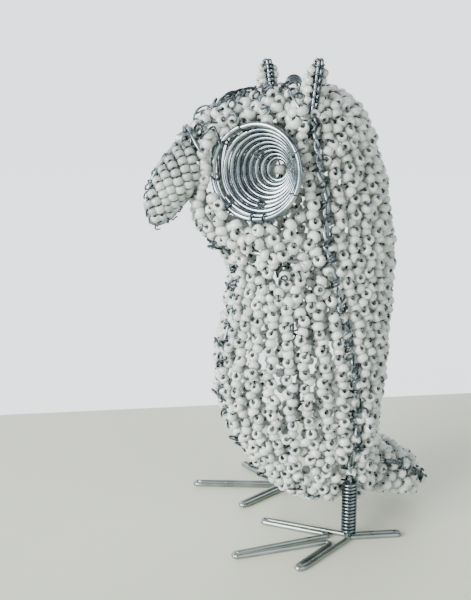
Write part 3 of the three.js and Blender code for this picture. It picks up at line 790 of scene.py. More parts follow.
def make_net(kind, side_name, seed):
    t_range, turn_range, column, pitch, ends, jitter, bead, gaps, sway = NETS[kind]
    side = 1 if side_name == "left" else -1
    centres, axes, pairs = weave(t_range, turn_range, column, pitch, ends, jitter, gaps, sway)
    centres = push_apart(centres)
    keep = clear_of_eye(centres) & clear_of_beak(centres) & clear_of_tail(centres)
    keep &= clear_of_leg(centres, LEG_Y[side_name]) & (centres[:, 0] > 1.6)
    new_index = np.where(keep, np.cumsum(keep) - 1, -1)
    pairs = [(new_index[a], new_index[b]) for a, b in pairs if keep[a] and keep[b]]
    centres = centres[keep]
    axes = axes[keep]
    sizes = (bead, bead * ROUNDNESS, BEAD_HOLE)
    piece = make_beads(f"{kind}_beads_{side_name}", centres, axes, sizes, seed, side)
    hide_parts(f"{kind}_net_{side_name}")
    lines = binding_lines(centres, axes, pairs)
    make_wires(f"{kind}_binding_wire_{side_name}", lines, BINDING, 5, 2, thin_zinc, side)


for seed, (kind, side_name) in enumerate([(kind, side) for kind in NETS for side in ("left", "right")]):
    make_net(kind, side_name, seed + 1)

# %% [markdown]
# The frame wires run in the grooves between the nets: one in the middle of the front, one down the
# back, one down each side and one round the neck. At the sides and the back it is a pair of wires,
# one from the edge of each net, that twist about each other. The front's and the neck's are single.
# The front one leaves the face above the beak, goes round the beak's edge and comes back to the
# throat.

# %% Paths of the frame wires
def sunk_points(t, turn, depth):
    t = np.asarray(t, float)
    outward, _ = form_directions(t, np.full_like(t, turn))
    if turn in (0, 2):
        outward = unit(outward * np.array([0, 1, 1]))
    return form_point(t, np.full_like(t, turn)) - outward * depth, outward


STRAND = 1.15                    # mm, each strand of a pair
DEPTH = 1.3                      # from the beads' surface to the middle of a pair
side_t = np.linspace(0.035, 9.7 / 12, 60)
side_path, side_out = sunk_points(side_t, 1, DEPTH)
# beside the face the pair lies on top, and lower down the beads close in over it
covered = np.interp(side_t, [0.0, 0.42, 0.55, 0.81], [0.0, 0.2, 1.1, 0.7]) + 0.35 * np.sin(side_t * 55)
side_path = side_path - side_out * covered[:, None]
back_path, back_out = sunk_points(np.linspace(0.02, 9.3 / 12, 60), 2, DEPTH)
forehead, forehead_out = sunk_points(np.linspace(0.02, 2.5 / 12, 16), 0, DEPTH + 0.5)
throat, throat_out = sunk_points(np.linspace(4.6 / 12, 0.985, 50), 0, DEPTH + 0.7)
print("side seam wire is", round(float(steps_along(side_path).sum())), "mm long")

# %% [markdown]
# The pair wanders a little, because it is bent by hand and pulled by the nets. Thin wire ties it to
# the beads on both sides in bunches: a few crossings, a turn round the pair and now and then a loose
# curl. Between the bunches a bead often sits on the seam and hides the pair. Beside the face a row
# of beads is also strung along the inside of each side seam.

# %% Seams: wandering pairs, bunches of ties and beads between them


def along_path(path, outward):
    """A function that gives the place, the along, out and across directions at a distance."""
    tangent = unit(np.gradient(path, axis=0))
    reach = reach_along(path)

    def at(place):
        here = np.array([np.interp(place, reach, path[:, k]) for k in range(3)])
        along = unit([np.interp(place, reach, tangent[:, k]) for k in range(3)])
        out = unit([np.interp(place, reach, outward[:, k]) for k in range(3)])
        return here, along, out, unit(np.cross(along, out))

    return at, reach[-1]


def wander(path, outward, spread, pitch, size, seed):
    """Two strands that twist about a path, which itself wanders by about size."""
    chance = np.random.default_rng(seed)
    at, length = along_path(path, outward)
    places = np.linspace(0, length, max(4, round(length / 1.6)))
    sway = size * (np.sin(places / 4.3 + chance.uniform(0, 6)) + 0.6 * np.sin(places / 1.9 + 1))
    sink = size * 0.6 * np.sin(places / 3.1 + chance.uniform(0, 6))
    angle = 2 * math.pi * places / pitch + 0.8 * np.sin(places / 5.0)
    strands = ([], [])
    for place, sideways, down, a in zip(places, sway, sink, angle):
        here, along, out, across = at(place)
        middle = here + across * sideways - out * down
        offset = (across * math.cos(a) + out * math.sin(a)) * spread
        strands[0].append(middle + offset)
        strands[1].append(middle - offset)
    return [np.array(strand) for strand in strands]


def lashings(path, outward, spacing, reach, seed, grip=1.3):
    """Bunches of ties over a seam, and the places half way between the bunches."""
    chance = np.random.default_rng(seed)
    at, length = along_path(path, outward)
    lines = []
    between = []
    place = spacing * 0.4
    while place < length - 1:
        for k in range(2 if chance.random() < 0.7 else 3):
            here, along, out, across = at(place + chance.normal(0, 1.2))
            way = 1 if k % 2 else -1
            lean = chance.normal(0, 0.4) + 1.3 * way
            high = grip * chance.uniform(0.9, 1.35)
            near = reach * chance.uniform(0.6, 1.05)
            far = reach * chance.uniform(0.6, 1.05)
            # each point of a tie: across the seam, out of it and along it
            shape = [
                (-near, -2.2, -1.0), (-near * 0.5, 0.5, -0.6), (0, high, 0),
                (far * 0.5, 0.5, 0.6), (far, -2.2, 1.0)]
            if k == 0:
                a = np.linspace(-0.6 * math.pi, 1.5 * math.pi, 12)
                shape = list(zip(high * np.sin(a), high * np.cos(a), a / 3 - 0.6))
            elif chance.random() < 0.2:
                shape = [
                    (-0.8, -1.0, -0.6), (0.2, high, 0), (1.3, high + 0.5, 0.8),
                    (1.6, high + 0.7, 1.9), (0.7, high + 0.8, 2.2)]
            lines.append([
                here + across * x * way + out * y + along * (z + lean * x * 0.5) for x, y, z in shape])
        step = spacing * chance.uniform(0.75, 1.3)
        between.append(place + step / 2)
        place += step
    return lines, between


def seam_beads(path, outward, places, share, low, seed):
    """Beads on a seam at some of the places, low under the path."""
    chance = np.random.default_rng(seed)
    at, length = along_path(path, outward)
    centres = []
    axes = []
    for place in places:
        if place > length - 2 or chance.random() > share(place / length):
            continue
        here, along, out, across = at(place)
        way = chance.choice([-1, 1])
        centres.append(here + across * way * chance.uniform(0.2, 1.5) - out * low)
        forward = along * chance.uniform(0.3, 1) + out * chance.uniform(0.2, 1)
        axes.append(unit(forward + across * chance.normal(0, 0.4)))
    return centres, axes


# %% Side seams
SEAM_BEAD = (3.8, 2.9, BEAD_HOLE)
SEAM_TIE = 0.75                  # mm, thickness of the wire that ties the seams
INNER_ROW = 32                   # points of the side's path beside the face
INNER_DEPTH = 4.4                # mm from the path to the row of beads inside it


def side_share(part):
    """The share of places with a bead, fewer beside the face than further down."""
    return 0.45 if part < 0.42 else 0.95


for side_name, side in SIDES:
    leg_y = LEG_Y[side_name]
    end = np.array([[LEG_X, leg_y, z] for z in (27.0, 24.5, LEG_TOP - 1.0)])
    end_out = np.repeat(side_out[-1:], 3, axis=0)
    joined = np.vstack([np.hstack([side_path, side_out]), np.hstack([end, end_out])])
    joined = evenly(joined, 2.6)
    path, out = joined[:, :3], unit(joined[:, 3:])
    strands = wander(path, out, 0.66, 11.0, 0.5, 3)
    piece = make_wires(f"side_seam_wire_{side_name}", strands, STRAND, 10, 3, frame_zinc, side)
    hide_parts(f"side_wire_{side_name}")
    lines, between = lashings(path, out, 6.2, 3.2, 7 + side)
    inner = evenly(side_path[:INNER_ROW] - side_out[:INNER_ROW] * INNER_DEPTH, 3.7)
    inner = inner[clear_of_eye(inner)]
    inner_axes = unit(np.gradient(inner, axis=0))
    make_beads(f"side_inner_beads_{side_name}", inner, inner_axes, SEAM_BEAD, 27 + side, side)
    lines.append(inner)
    make_wires(f"side_seam_lashing_{side_name}", lines, SEAM_TIE, 8, 4, thin_zinc, side)
    centres, axes = seam_beads(path, out, between, side_share, 0.3, 15)
    make_beads(f"side_seam_beads_{side_name}", centres, axes, SEAM_BEAD, 17 + side, side)

# %% Middle wire, back wire and neck wire
def edge_points(points):
    return np.column_stack([np.zeros(len(points)), points * SHARE])


ridge = edge_points(smooth_curve(BEAK_RIDGE, np.linspace(0, 1, 24)))
lower = edge_points(smooth_curve(BEAK_LOWER, np.linspace(1, 0, 22)))
middle_path = evenly(np.vstack([forehead, ridge, lower, throat]), 2.2)
middle_wire = make_wires("middle_wire_of_the_front", [middle_path], 1.6, 10, 3, frame_zinc)
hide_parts("middle_wire")
back_strands = wander(back_path, back_out, 0.6, 11.0, 0.45, 5)
back_wire = make_wires("back_seam_wire", back_strands, STRAND, 10, 3, frame_zinc)
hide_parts("back_wire")
neck_turns = np.linspace(0, 0.86, 12)
neck_out, _ = form_directions(np.full(12, NECK), neck_turns)
neck_half = form_point(np.full(12, NECK), neck_turns) - neck_out * 3.4
neck_line = np.vstack([(neck_half * np.array([-1, 1, 1]))[:0:-1], neck_half])
neck_wire = make_wires("neck_frame_wire", [neck_line], 1.6, 10, 3, frame_zinc)
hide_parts("neck_wire")
seam_lines = []
centres = []
axes = []
for path, out, spacing, seed in ((back_path, back_out, 6.5, 21), (forehead, forehead_out, 5.0, 22),
                                 (throat, throat_out, 6.0, 23)):
    lines, between = lashings(path, out, spacing, 3.0, seed)
    seam_lines += lines
    more_centres, more_axes = seam_beads(path, out, between, lambda part: 0.9, 0.4, seed + 9)
    centres += more_centres
    axes += more_axes
make_wires("middle_and_back_lashing", seam_lines, SEAM_TIE, 8, 4, thin_zinc)
make_beads("middle_and_back_seam_beads", centres, axes, SEAM_BEAD, 24)

# %% [markdown]
# Each eye is one bright wire wound into a cone that opens outwards. Blender's spiral node draws
# such a line by rule: turns, two radii and a height. Two more arcs of the same wire make the rim:
# one runs from the top round the side of the back to the bottom, and the other, a little outside it,
# from the bottom round the side of the beak to the top. Thin loops tie them to the face.

# %% Geometry Nodes: the eye's spiral
def eye_tree():
    tree, given = new_tree("eye_spiral", {
        "Turns": "Float",
        "Rim radius": "Float",
        "Hole radius": "Float",
        "Depth": "Float",
        "Wire diameter": "Float",
        "Material": "Material",
    })
    line = add(tree, "GeometryNodeCurveSpiral", {
        "Resolution": 44,
        "Rotations": given["Turns"],
        "Start Radius": given["Hole radius"],
        "End Radius": given["Rim radius"],
        "Height": given["Depth"],
    })
    wire = round_wire(tree, line.outputs["Curve"], given["Wire diameter"], 10)
    return finish_tree(tree, wire, given["Material"])


eye_spiral = eye_tree()


def place_mesh(piece, matrix):
    """Moves a piece's mesh, and leaves the object at the origin."""
    piece.data.transform(matrix)
    piece.data.update()


for side_name, side in SIDES:
    piece = grow(f"spiral_eye_{side_name}", bpy.data.meshes.new("eye"), eye_spiral, {
        "Turns": 8.4,
        "Rim radius": (EYE_RIM - EYE_WIRE) * MM,
        "Hole radius": (EYE_HOLE + EYE_WIRE / 2) * MM,
        "Depth": (EYE_DEPTH - 1.2) * MM,
        "Wire diameter": EYE_STRAND * MM,
        "Material": bright_zinc,
    })
    base = EYE_CENTRE - EYE_OUT * EYE_DEPTH
    columns = [EYE_ACROSS, np.array([0, 0, 1.0]), EYE_OUT, base * MM]
    matrix = Matrix([[columns[c][r] for c in range(4)] for r in range(3)] + [[0, 0, 0, 1]])
    place_mesh(piece, matrix)
    if side < 0:
        place_mesh(piece, Matrix.Scale(-1, 4, (1, 0, 0)))
        piece.data.flip_normals()
    place_mesh(piece, Matrix.Translation(Vector(SHIFT) * MM))
    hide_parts(f"eye_{side_name}")
    print(piece.name, triangles(piece), "triangles")

# %% The eye's rim and its ties


def eye_point(degrees, radius, out, forward=0.0):
    a = math.radians(degrees)
    flat = EYE_ACROSS * (radius * math.cos(a) - forward) + np.array([0, 0, radius * math.sin(a)])
    return EYE_CENTRE + flat + EYE_OUT * out


for side_name, side in SIDES:
    rim_radius = EYE_RIM - EYE_WIRE / 2
    back_arc = [eye_point(d, rim_radius, 0.2) for d in np.linspace(112, -78, 40)]
    front_arc = [eye_point(d, rim_radius + 0.1, -0.2, 0.9) for d in np.linspace(281, 103, 40)]
    arcs = [back_arc, front_arc]
    make_wires(f"eye_rim_{side_name}", arcs, EYE_STRAND, 12, 2, bright_zinc, side)
    ties = []
    for degrees in (109, 140, 228, 263, 282, 22, -28):
        loop = []
        for a in np.linspace(-0.9 * math.pi, 1.25 * math.pi, 12):
            lean = degrees + a * 1.1
            radius = rim_radius - 0.1 - 1.35 * math.cos(a)
            loop.append(eye_point(lean, radius, 0.05 + 1.5 * math.sin(a) - 0.4, 0.4))
        loop.append(eye_point(degrees + 4, rim_radius + 2.6, -2.4, 0.4))
        ties.append(loop)
    make_wires(f"eye_ties_{side_name}", ties, BINDING, 6, 2, thin_zinc, side)

# %% The bead behind each eye, which closes the hole in the middle
PUPIL_BEAD = (4.3, 3.4, BEAD_HOLE)
PUPIL_BEHIND = 2.6               # mm behind the small end of the cone
PUPIL_ASIDE = 1.1                # mm towards the beak
pupil = EYE_CENTRE - EYE_OUT * (EYE_DEPTH + PUPIL_BEHIND) - EYE_ACROSS * PUPIL_ASIDE
tie = [pupil + EYE_OUT * ahead + np.array([0, 0, rise])
       for rise, ahead in ((3.4, 1.8), (2.2, 0.4), (0, 0), (-2.2, 0.4), (-3.4, 1.8))]
for side_name, side in SIDES:
    make_beads(f"eye_bead_{side_name}", [pupil], [(0, 0, 1.0)], PUPIL_BEAD, 41, side)
    make_wires(f"eye_bead_tie_{side_name}", [tie], 0.65, 6, 3, thin_zinc, side)

# %% [markdown]
# The beak is woven flat and tight from smaller beads: columns of beads run over it from the ridge
# to the lower edge, and dark wire lies between the columns.

# %% The beak
BEAK_COLUMNS = 7
beak_centres = []
beak_axes = []
beak_lines = []
for column in range(BEAK_COLUMNS):
    s = np.array([0.06 + 0.9 * column / (BEAK_COLUMNS - 1) * 0.92])
    middle, half, width = (rows[0] for rows in beak_section(s))
    height = np.linalg.norm(half) - 1.6
    width = max(width - 1.5, 1.4)
    up = half / np.linalg.norm(half)
    for side in (1, -1):
        trace_angle = np.linspace(0, math.pi, 80)
        trace = np.column_stack([
            side * width * np.sin(trace_angle),
            middle[0] + up[0] * height * np.cos(trace_angle),
            middle[1] + up[1] * height * np.cos(trace_angle),
        ])
        length = steps_along(trace).sum()
        count = max(2, round(length / 2.75))
        line = evenly(trace, length / (2 * count))[:2 * count + 1]
        beak_centres.extend(line[1::2])
        beak_axes.extend(unit(line[2::2] - line[0:-1:2]))
        beak_lines.append(line)
# a ring of beads where the beak leaves the face
BASE_HALF_WIDTH = 7.9
BASE_HALF_HEIGHT = 10.3
BASE_Y = -50.4
BASE_Z = 138.9
base_centres = []
for side in (1, -1):
    for a in np.radians([30, 55, 80, 105, 130, 152]):
        sideways = side * BASE_HALF_WIDTH * math.sin(a)
        base_centres.append([sideways, BASE_Y, BASE_Z + BASE_HALF_HEIGHT * math.cos(a)])
base_centres = np.array(base_centres)
base_centres = base_centres[clear_of_eye(np.abs(base_centres) * [1, -1, 1])]
base_axes = unit(np.random.default_rng(35).normal(0, 1, base_centres.shape) + [0, -0.6, 0.6])
make_beads("beak_base_beads", base_centres, base_axes, (3.9, 3.0, BEAD_HOLE), 36)
# the beak's beads use the greyer copy of the glass, which paints in the shade on the beak
beak_beads = make_beads("beak_beads", beak_centres, beak_axes, (3.5, 2.65, 1.0), 31,
                        spread=0.03, material=shaded_beak_glass)
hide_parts("beak")
beak_path = np.vstack([ridge, lower])
beak_middle = beak_path.mean(axis=0)
beak_path = evenly(beak_path, 1.0)
beak_ties, _ = lashings(beak_path, unit(beak_path - beak_middle), 5.2, 1.9, 33, 1.05)
make_wires("beak_binding_wire", beak_lines, 0.6, 5, 1, thin_zinc)
make_wires("beak_edge_ties", beak_ties, 0.55, 5, 3, thin_zinc)

# %% [markdown]
# An ear is a hairpin of thick wire with beads sewn to its front and back and thin wire wound
# round it. Seen from the side it is a dark ladder with white beads on both sides.

# %% The ears
EAR_TIPS = {"left": np.array([11.3, -8.5, 98.3]) * SHARE, "right": np.array([10.6, -10.2, 100.0]) * SHARE}
EAR_BEND = 1.4                   # mm, radius of the bend at the tip
EAR_WIRE = 1.6


def rung(inner, outer, bend, rise):
    """The two ends of a line across an ear, at a share of its height."""
    return inner + (bend[0] - inner) * rise, outer + (bend[-1] - outer) * rise


for side_name, side in SIDES:
    feet, _ = sunk_points(np.array([0.75, 2.3]) / 12, 1, 2.3)
    inner, outer = feet
    tip = EAR_TIPS[side_name]
    upward = unit(tip - (inner + outer) / 2)
    across = inner - outer
    across = unit(across - upward * (across @ upward))
    angles = np.linspace(0, math.pi, 6)
    bend = [tip + upward * (EAR_BEND * (math.sin(a) - 1) - EAR_WIRE / 2) + across * EAR_BEND * math.cos(a)
            for a in angles]
    rising = evenly([inner - upward * 2, bend[0]], 4.0)
    falling = evenly([bend[-1], outer - upward * 2], 4.0)
    hairpin = np.vstack([rising, bend[1:-1], falling])
    strands = [hairpin + np.array([0, gap, 0]) for gap in (-0.65, 0.65)]
    wire = make_wires(f"ear_wire_{side_name}", strands, 1.25, 10, 4, leg_zinc, side)
    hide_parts(f"ear_{side_name}")
    chance = np.random.default_rng(51 + side)
    centres = []
    axes = []
    wraps = []
    height = np.linalg.norm(tip - (inner + outer) / 2)
    rise = 0.12
    while rise < 0.9:
        start, end = rung(inner, outer, bend, rise)
        width = np.linalg.norm(end - start)
        count = 3 if width > 9 else 2 if width > 5 else 1
        for k in range(count):
            for face in (-1, 1):
                middle = start + (end - start) * (k + 1) / (count + 1)
                centres.append(middle + np.array([0, face * 2.3, 0]) + chance.normal(0, 0.2, 3))
                axes.append(unit(upward + chance.normal(0, 0.35, 3)))
        rise += 2.9 / height
    for rise in np.linspace(0.15, 0.95, 7):
        start, end = rung(inner, outer, bend, rise)
        middle = (start + end) / 2
        half = (end - start) / 2
        half = half + unit(half) * 1.2
        turn = np.linspace(0, 2.3 * math.pi, 12)
        wraps.append([
            middle + half * math.cos(a) + np.array([0, 1.75 * math.sin(a), 0]) + upward * (a / 6 - 0.5)
            for a in turn
        ])
    beads = make_beads(f"ear_beads_{side_name}", centres, axes, (3.2, 2.6, 1.1), 61 + side, side)
    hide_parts(f"ear_{side_name}")
    make_wires(f"ear_lashing_{side_name}", wraps, 0.72, 8, 2, thin_zinc, side)

# %% [markdown]
# The tail is a short flat lobe of the same beads. Rows of them go round it, and the end is closed
# with a few more. Dark wire shows along its upper edge.

# %% The tail
tail_centres = []
tail_axes = []
tail_edge = []
chance = np.random.default_rng(71)
for row, s in enumerate(np.linspace(0.02, 1.0, 8)):
    middle, along, sizes = tail_section(np.array([s]))
    middle, along, sizes = middle[0], along[0], sizes[0] - 1.9
    up = np.array([-along[1], along[0]])
    turn = np.linspace(0, 2 * math.pi, 200)
    wide = np.sign(np.cos(turn)) * np.abs(np.cos(turn)) ** (2 / TAIL_FULLNESS) * sizes[0]
    high = np.sign(np.sin(turn)) * np.abs(np.sin(turn)) ** (2 / TAIL_FULLNESS) * sizes[1]
    loop = np.column_stack([wide, middle[0] + up[0] * high, middle[1] + up[1] * high])
    length = steps_along(loop).sum()
    ring = evenly(loop, length / round(length / 4.1))[:-1]
    for place in np.roll(ring, row % 2, axis=0) + (ring[1] - ring[0]) * (0.5 if row % 2 else 0):
        out = unit(place - np.array([0, middle[0], middle[1]]))
        tail_centres.append(place + chance.normal(0, 0.35, 3))
        turned = out * chance.uniform(0, 1.2) + np.array([0, *along]) * chance.uniform(0.4, 1)
        tail_axes.append(unit(turned + chance.normal(0, 0.3, 3)))
    if s > 0.95:
        for x in np.arange(-sizes[0] + 3.4, sizes[0] - 3.3, 3.9):
            tail_centres.append(np.array([x, middle[0], middle[1]]) + chance.normal(0, 0.3, 3))
            tail_axes.append(unit(np.array([0, *along]) + chance.normal(0, 0.3, 3)))
tail_centres = push_apart(np.array(tail_centres))
tail = make_beads("tail_beads", tail_centres, tail_axes, (BEAD, BEAD_LENGTH, BEAD_HOLE), 73)
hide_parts("tail")
lines = [[c - a * 2.0, c, c + a * 2.0] for c, a in zip(tail_centres, tail_axes)]
make_wires("tail_binding_wire", lines, BINDING, 5, 1, thin_zinc)
tail_ties = []
for side in (1, -1):
    middle, along, sizes = tail_section(np.linspace(0.1, 0.97, 16))
    up = upright(along)
    edge = middle + up * (sizes[:, 1:] * 0.55 - 0.6)
    tail_line = np.column_stack([side * (sizes[:, 0] * 0.86 - 0.4), edge])
    tail_out = unit(np.column_stack([side * np.full(16, 0.75), up]))
    tail_edge.append(tail_line)
    tail_ties += lashings(tail_line, tail_out, 3.4, 2.6, 75 + side, 1.2)[0]
make_wires("tail_edge_wire", tail_edge, 1.1, 8, 3, frame_zinc)
make_wires("tail_edge_lashing", tail_ties, 0.68, 6, 3, thin_zinc)

# %% [markdown]
# A leg is a bundle of wire with a thinner wire wound round it. The winding is a helix whose pitch is
# a little more than the wire's own thickness, so that each turn shows.

# %% The legs
LEG_WINDING = 1.12               # mm, thickness of the winding wire
LEG_PITCH = 1.3                  # mm, rise of each turn
for side_name, side in SIDES:
    leg_y = LEG_Y[side_name]
    turns = (LEG_TOP - 2.0) / LEG_PITCH
    angle = np.arange(0, turns * 2 * math.pi, 2 * math.pi / 14)
    radius = LEG_RADIUS - LEG_WINDING / 2
    helix = np.column_stack([
        LEG_X + radius * np.cos(angle),
        leg_y + radius * np.sin(angle),
        2.0 + LEG_WINDING / 2 + LEG_PITCH * angle / (2 * math.pi),
    ])
    core = np.array([[LEG_X, leg_y, z] for z in (1.6, 8.0, 15.0, LEG_TOP)])
    winding = make_wires(f"leg_winding_{side_name}", [helix], LEG_WINDING, 8, 1, leg_zinc, side)
    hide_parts(f"leg_{side_name}")
    make_wires(f"leg_core_{side_name}", [core], 3.8, 12, 1, leg_zinc, side)

# %% [markdown]
# A foot is one wire bent into toes: out along one strand, round the tip and back along the next,
# three toes forwards and one back, and up into the leg. It lies flat on the table.

# %% The feet
FOOT_WIRE = 1.9
STRANDS = 2.2                    # mm between the two strands of a toe
FEET = {
    # name: the leg's y, then in mm from the leg: front tips, bends between them, back tip
    "left": (
        -1.2, [[-22.6, -26.0], [-1.5, -45.6], [14.7, -27.7]],
        [[-3.8, -8.4], [2.4, -10.2]], [4.8, 19.7]),
    "right": (
        -4.2, [[11.5, -26.3], [-15.4, -37.8], [-27.9, -10.3]],
        [[0.0, -6.7], [-4.6, -5.4]], [6.5, 18.6]),
}


def toe_line(start, tip, end):
    """Out to the tip and back, with a round bend at the tip."""
    outward = unit(tip - (start + end) / 2)
    across = np.array([-outward[1], outward[0]])
    side = -1 if (start - end) @ across < 0 else 1
    centre = tip - outward * (STRANDS / 2 + FOOT_WIRE / 2)
    bend = [centre + across * side * STRANDS / 2 * math.cos(a) + outward * STRANDS / 2 * math.sin(a)
            for a in np.linspace(0, math.pi, 7)]
    return [*evenly([start, bend[0]], 6.0), *bend[1:-1], *evenly([bend[-1], end], 6.0)]


def hook(bend, before, after):
    """The round bend between two toes, from the end of one to the start of the next."""
    towards = unit(bend - (before + after) / 2)
    across = np.array([-towards[1], towards[0]])
    if (before - after) @ across < 0:
        across = -across
    return [bend + (across * math.cos(a) + towards * math.sin(a)) * 1.1 for a in np.linspace(0, math.pi, 5)]


for side_name, side in SIDES:
    leg_y, tips, bends, back = FEET[side_name]
    middle = np.array([side * LEG_X, leg_y])
    tips = [middle + tip for tip in tips]
    hooks = [hook(middle + bend, before, after) for bend, before, after in zip(bends, tips, tips[1:])]
    starts = [middle + (-side * STRANDS / 2, 0), hooks[0][-1], hooks[1][-1]]
    ends = [hooks[0][0], hooks[1][0], middle + (side * STRANDS / 2, 0)]
    route = []
    for number, (start, tip, end) in enumerate(zip(starts, tips, ends)):
        part = toe_line(start, tip, end)
        route.extend(part[1:] if route else part)
        if number < 2:
            route.extend(hooks[number][1:])
    back_part = toe_line(ends[2], middle + back, starts[0])
    lift = FOOT_WIRE / 2
    flat = [np.array([x, y, lift]) for x, y in route]
    behind = [np.array([x, y, lift]) for x, y in back_part]
    foot = make_wires(f"foot_wire_{side_name}", [flat, behind], FOOT_WIRE, 12, 3, foot_zinc)
    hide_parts(f"foot_{side_name}")

# %% [markdown]
# Where the wires of the frame meet on the crown, the thin wire ends in a small coil that shows its
# turns to the side.

# %% The coil on the crown
crown = (RINGS[0, 0:2] + RINGS[0, 2:4]) / 2
angle = np.arange(0, 3.5 * 2 * math.pi, 2 * math.pi / 14)
coil_start = np.array([1.0, crown[0] - 0.4, crown[1] + 0.7])
coil_across = np.array([0.342, 0.94, 0.0])
coil_advance = np.array([1.0, -0.3, -0.75])
coil = [
    coil_start + coil_across * 2.6 * math.cos(a) + np.array([0, 0, 2.3 * math.sin(a)])
    + coil_advance * a / (2 * math.pi)
    for a in angle
]
crown_coil = make_wires("crown_coil_wire", [coil], 0.85, 8, 2, leg_zinc)
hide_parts("crown_coil")

# %% [markdown]
# The ends of the wires were not all tucked in. Some cross the forehead beside the beak, one thick
# end runs from the crown down to the side seam, and a few turns of bright wire close the top of the
# beak. Each is a line of points over the owl's form: how far down, how far round, how high above.

# %% Loose ends and knots on the head


def over_form(places):
    places = np.array(places)
    outward, _ = form_directions(places[:, 0], places[:, 1])
    return form_point(places[:, 0], places[:, 1]) + outward * places[:, 2:3]


thick_ends = [
    [(0.095, 0.72, -1.5), (0.105, 0.75, 0.3), (0.135, 0.8, 0.6), (0.168, 0.86, 0.5), (0.2, 0.97, -0.4)],
    [(0.216, 0.06, 0.6), (0.22, 0.12, 1.4), (0.238, 0.2, 1.2), (0.259, 0.271, 0.6), (0.27, 0.32, -1.5)],
]
thin_ends = [
    [(0.2, 0.02, -1.0), (0.192, 0.03, 0.8), (0.178, 0.04, 1.6), (0.166, 0.09, 1.4),
     (0.162, 0.165, 0.2)],
    [(0.15, 0.18, -1.0), (0.14, 0.16, 0.9), (0.12, 0.1, 1.2), (0.104, 0.065, 0.8),
     (0.09, 0.02, 1.2), (0.068, 0.03, 0.4)],
    [(0.146, 0.13, -0.8), (0.128, 0.13, 1.3), (0.11, 0.05, 1.4), (0.094, 0.06, 1.0),
     (0.072, 0.12, 0.9), (0.06, 0.2, -0.6)],
    [(0.06, 0.14, -0.8), (0.068, 0.18, 0.9), (0.074, 0.241, 1.0), (0.084, 0.3, -0.6)],
    [(0.236, 0.24, -0.8), (0.23, 0.281, 0.9), (0.222, 0.31, 1.3), (0.214, 0.336, 0.9),
     (0.23, 0.38, 1.0), (0.253, 0.416, -0.2)],
    [(0.222, 0.2, 0.2), (0.21, 0.25, 1.1), (0.205, 0.31, 0.9), (0.2, 0.35, -0.8)],
    [(0.04, 0.55, -0.6), (0.03, 0.6, 1.2), (0.05, 0.68, 1.6), (0.07, 0.62, 1.0),
     (0.055, 0.56, 0.9), (0.045, 0.66, 0.8)],
]
spring = np.linspace(0, 4.2 * 2 * math.pi, 56)
spring_start, spring_out = (rows[0] for rows in sunk_points(np.array([0.242]), 0, -0.1))
spring_up = np.cross(spring_out, [1.0, 0, 0])
spring_line = [
    spring_start + np.array([-1.0 + 1.6 * a / (2 * math.pi), 0, 0])
    + spring_out * 1.9 * math.cos(a) + spring_up * 1.9 * math.sin(a)
    for a in spring
]


def tangle(t, turn, size, seed, loops=1.5):
    """A loose knot of thin wire that lies on the form."""
    chance = np.random.default_rng(seed)
    centre = over_form([(t, turn, 0.2)])[0]
    out, up = (rows[0] for rows in form_directions(np.array([t]), np.array([turn])))
    sideways = np.cross(out, up)
    line = []
    start = chance.uniform(0, 6)
    for a in np.arange(0, loops * 2 * math.pi, 0.7):
        radius = size * (1.0 - 0.25 * a / (loops * 2 * math.pi)) * chance.uniform(0.85, 1.1)
        height = 0.55 * size * math.sin(a + start) - 0.3
        line.append(centre + sideways * radius * math.cos(a + start)
                    + up * radius * math.sin(a + start) * 0.8 + out * height)
    return line


KNOTS = [
    # t, turn, size, number of wires
    (0.226, 0.06, 2.4, 2), (0.24, 0.14, 2.2, 2), (0.22, 0.2, 2.2, 1), (0.104, 0.78, 1.7, 2),
    (0.128, 0.86, 1.6, 1), (0.112, 0.05, 1.7, 1), (0.088, 0.08, 1.6, 1), (0.14, 0.13, 1.8, 1),
    (0.196, 0.97, 2.0, 1), (0.3, 0.99, 2.0, 2), (0.36, 1.0, 2.1, 1), (0.405, 1.0, 1.9, 1),
    (0.46, 0.06, 2.0, 1), (0.55, 0.05, 1.8, 1), (0.64, 0.05, 2.0, 1), (0.72, 0.06, 2.2, 1),
    (0.81, 0.06, 2.0, 1), (0.88, 0.1, 2.3, 2), (0.885, 0.5, 2.5, 2), (0.9, 0.66, 2.2, 1),
    (0.78, 1.02, 1.8, 1), (0.62, 0.98, 1.7, 1), (0.19, 0.42, 1.7, 1), (0.34, 0.6, 1.4, 1),
    (0.5, 0.6, 1.2, 1), (0.06, 0.3, 1.7, 1), (0.09, 0.5, 1.8, 1), (0.15, 0.32, 1.8, 1),
    (0.12, 0.25, 1.6, 1), (0.05, 0.75, 1.6, 1), (0.03, 0.42, 1.5, 1), (0.075, 0.4, 1.6, 1),
    (0.11, 0.42, 1.5, 1), (0.135, 0.55, 1.6, 1), (0.1, 0.16, 1.6, 1), (0.045, 0.15, 1.6, 1),
    (0.08, 0.65, 1.5, 1), (0.17, 0.62, 1.6, 1), (0.26, 0.62, 1.6, 1), (0.3, 0.36, 1.6, 1),
]
thick_lines = [over_form(places) for places in thick_ends]
make_wires("loose_thick_ends", [*thick_lines, spring_line], 0.95, 8, 4, frame_zinc)
thin_lines = [over_form(places) for places in thin_ends]
for index, (t, turn, size, count) in enumerate(KNOTS):
    thin_lines += [tangle(t, turn, size, 10 * index + k) for k in range(count)]
mirrored = [np.array(line) * [-1, 1, 1] for line in thin_lines[len(thin_ends):]]
make_wires("loose_thin_ends", thin_lines + mirrored, 0.75, 6, 4, thin_zinc)

# %% [markdown]
# The owl stands on a pale table. Behind the table lies a paler sheet that sweeps up far away, so
# that the owl can be looked at from every side. The sheet is lit from behind, which makes it as
# even and bright as the wall of a light room.

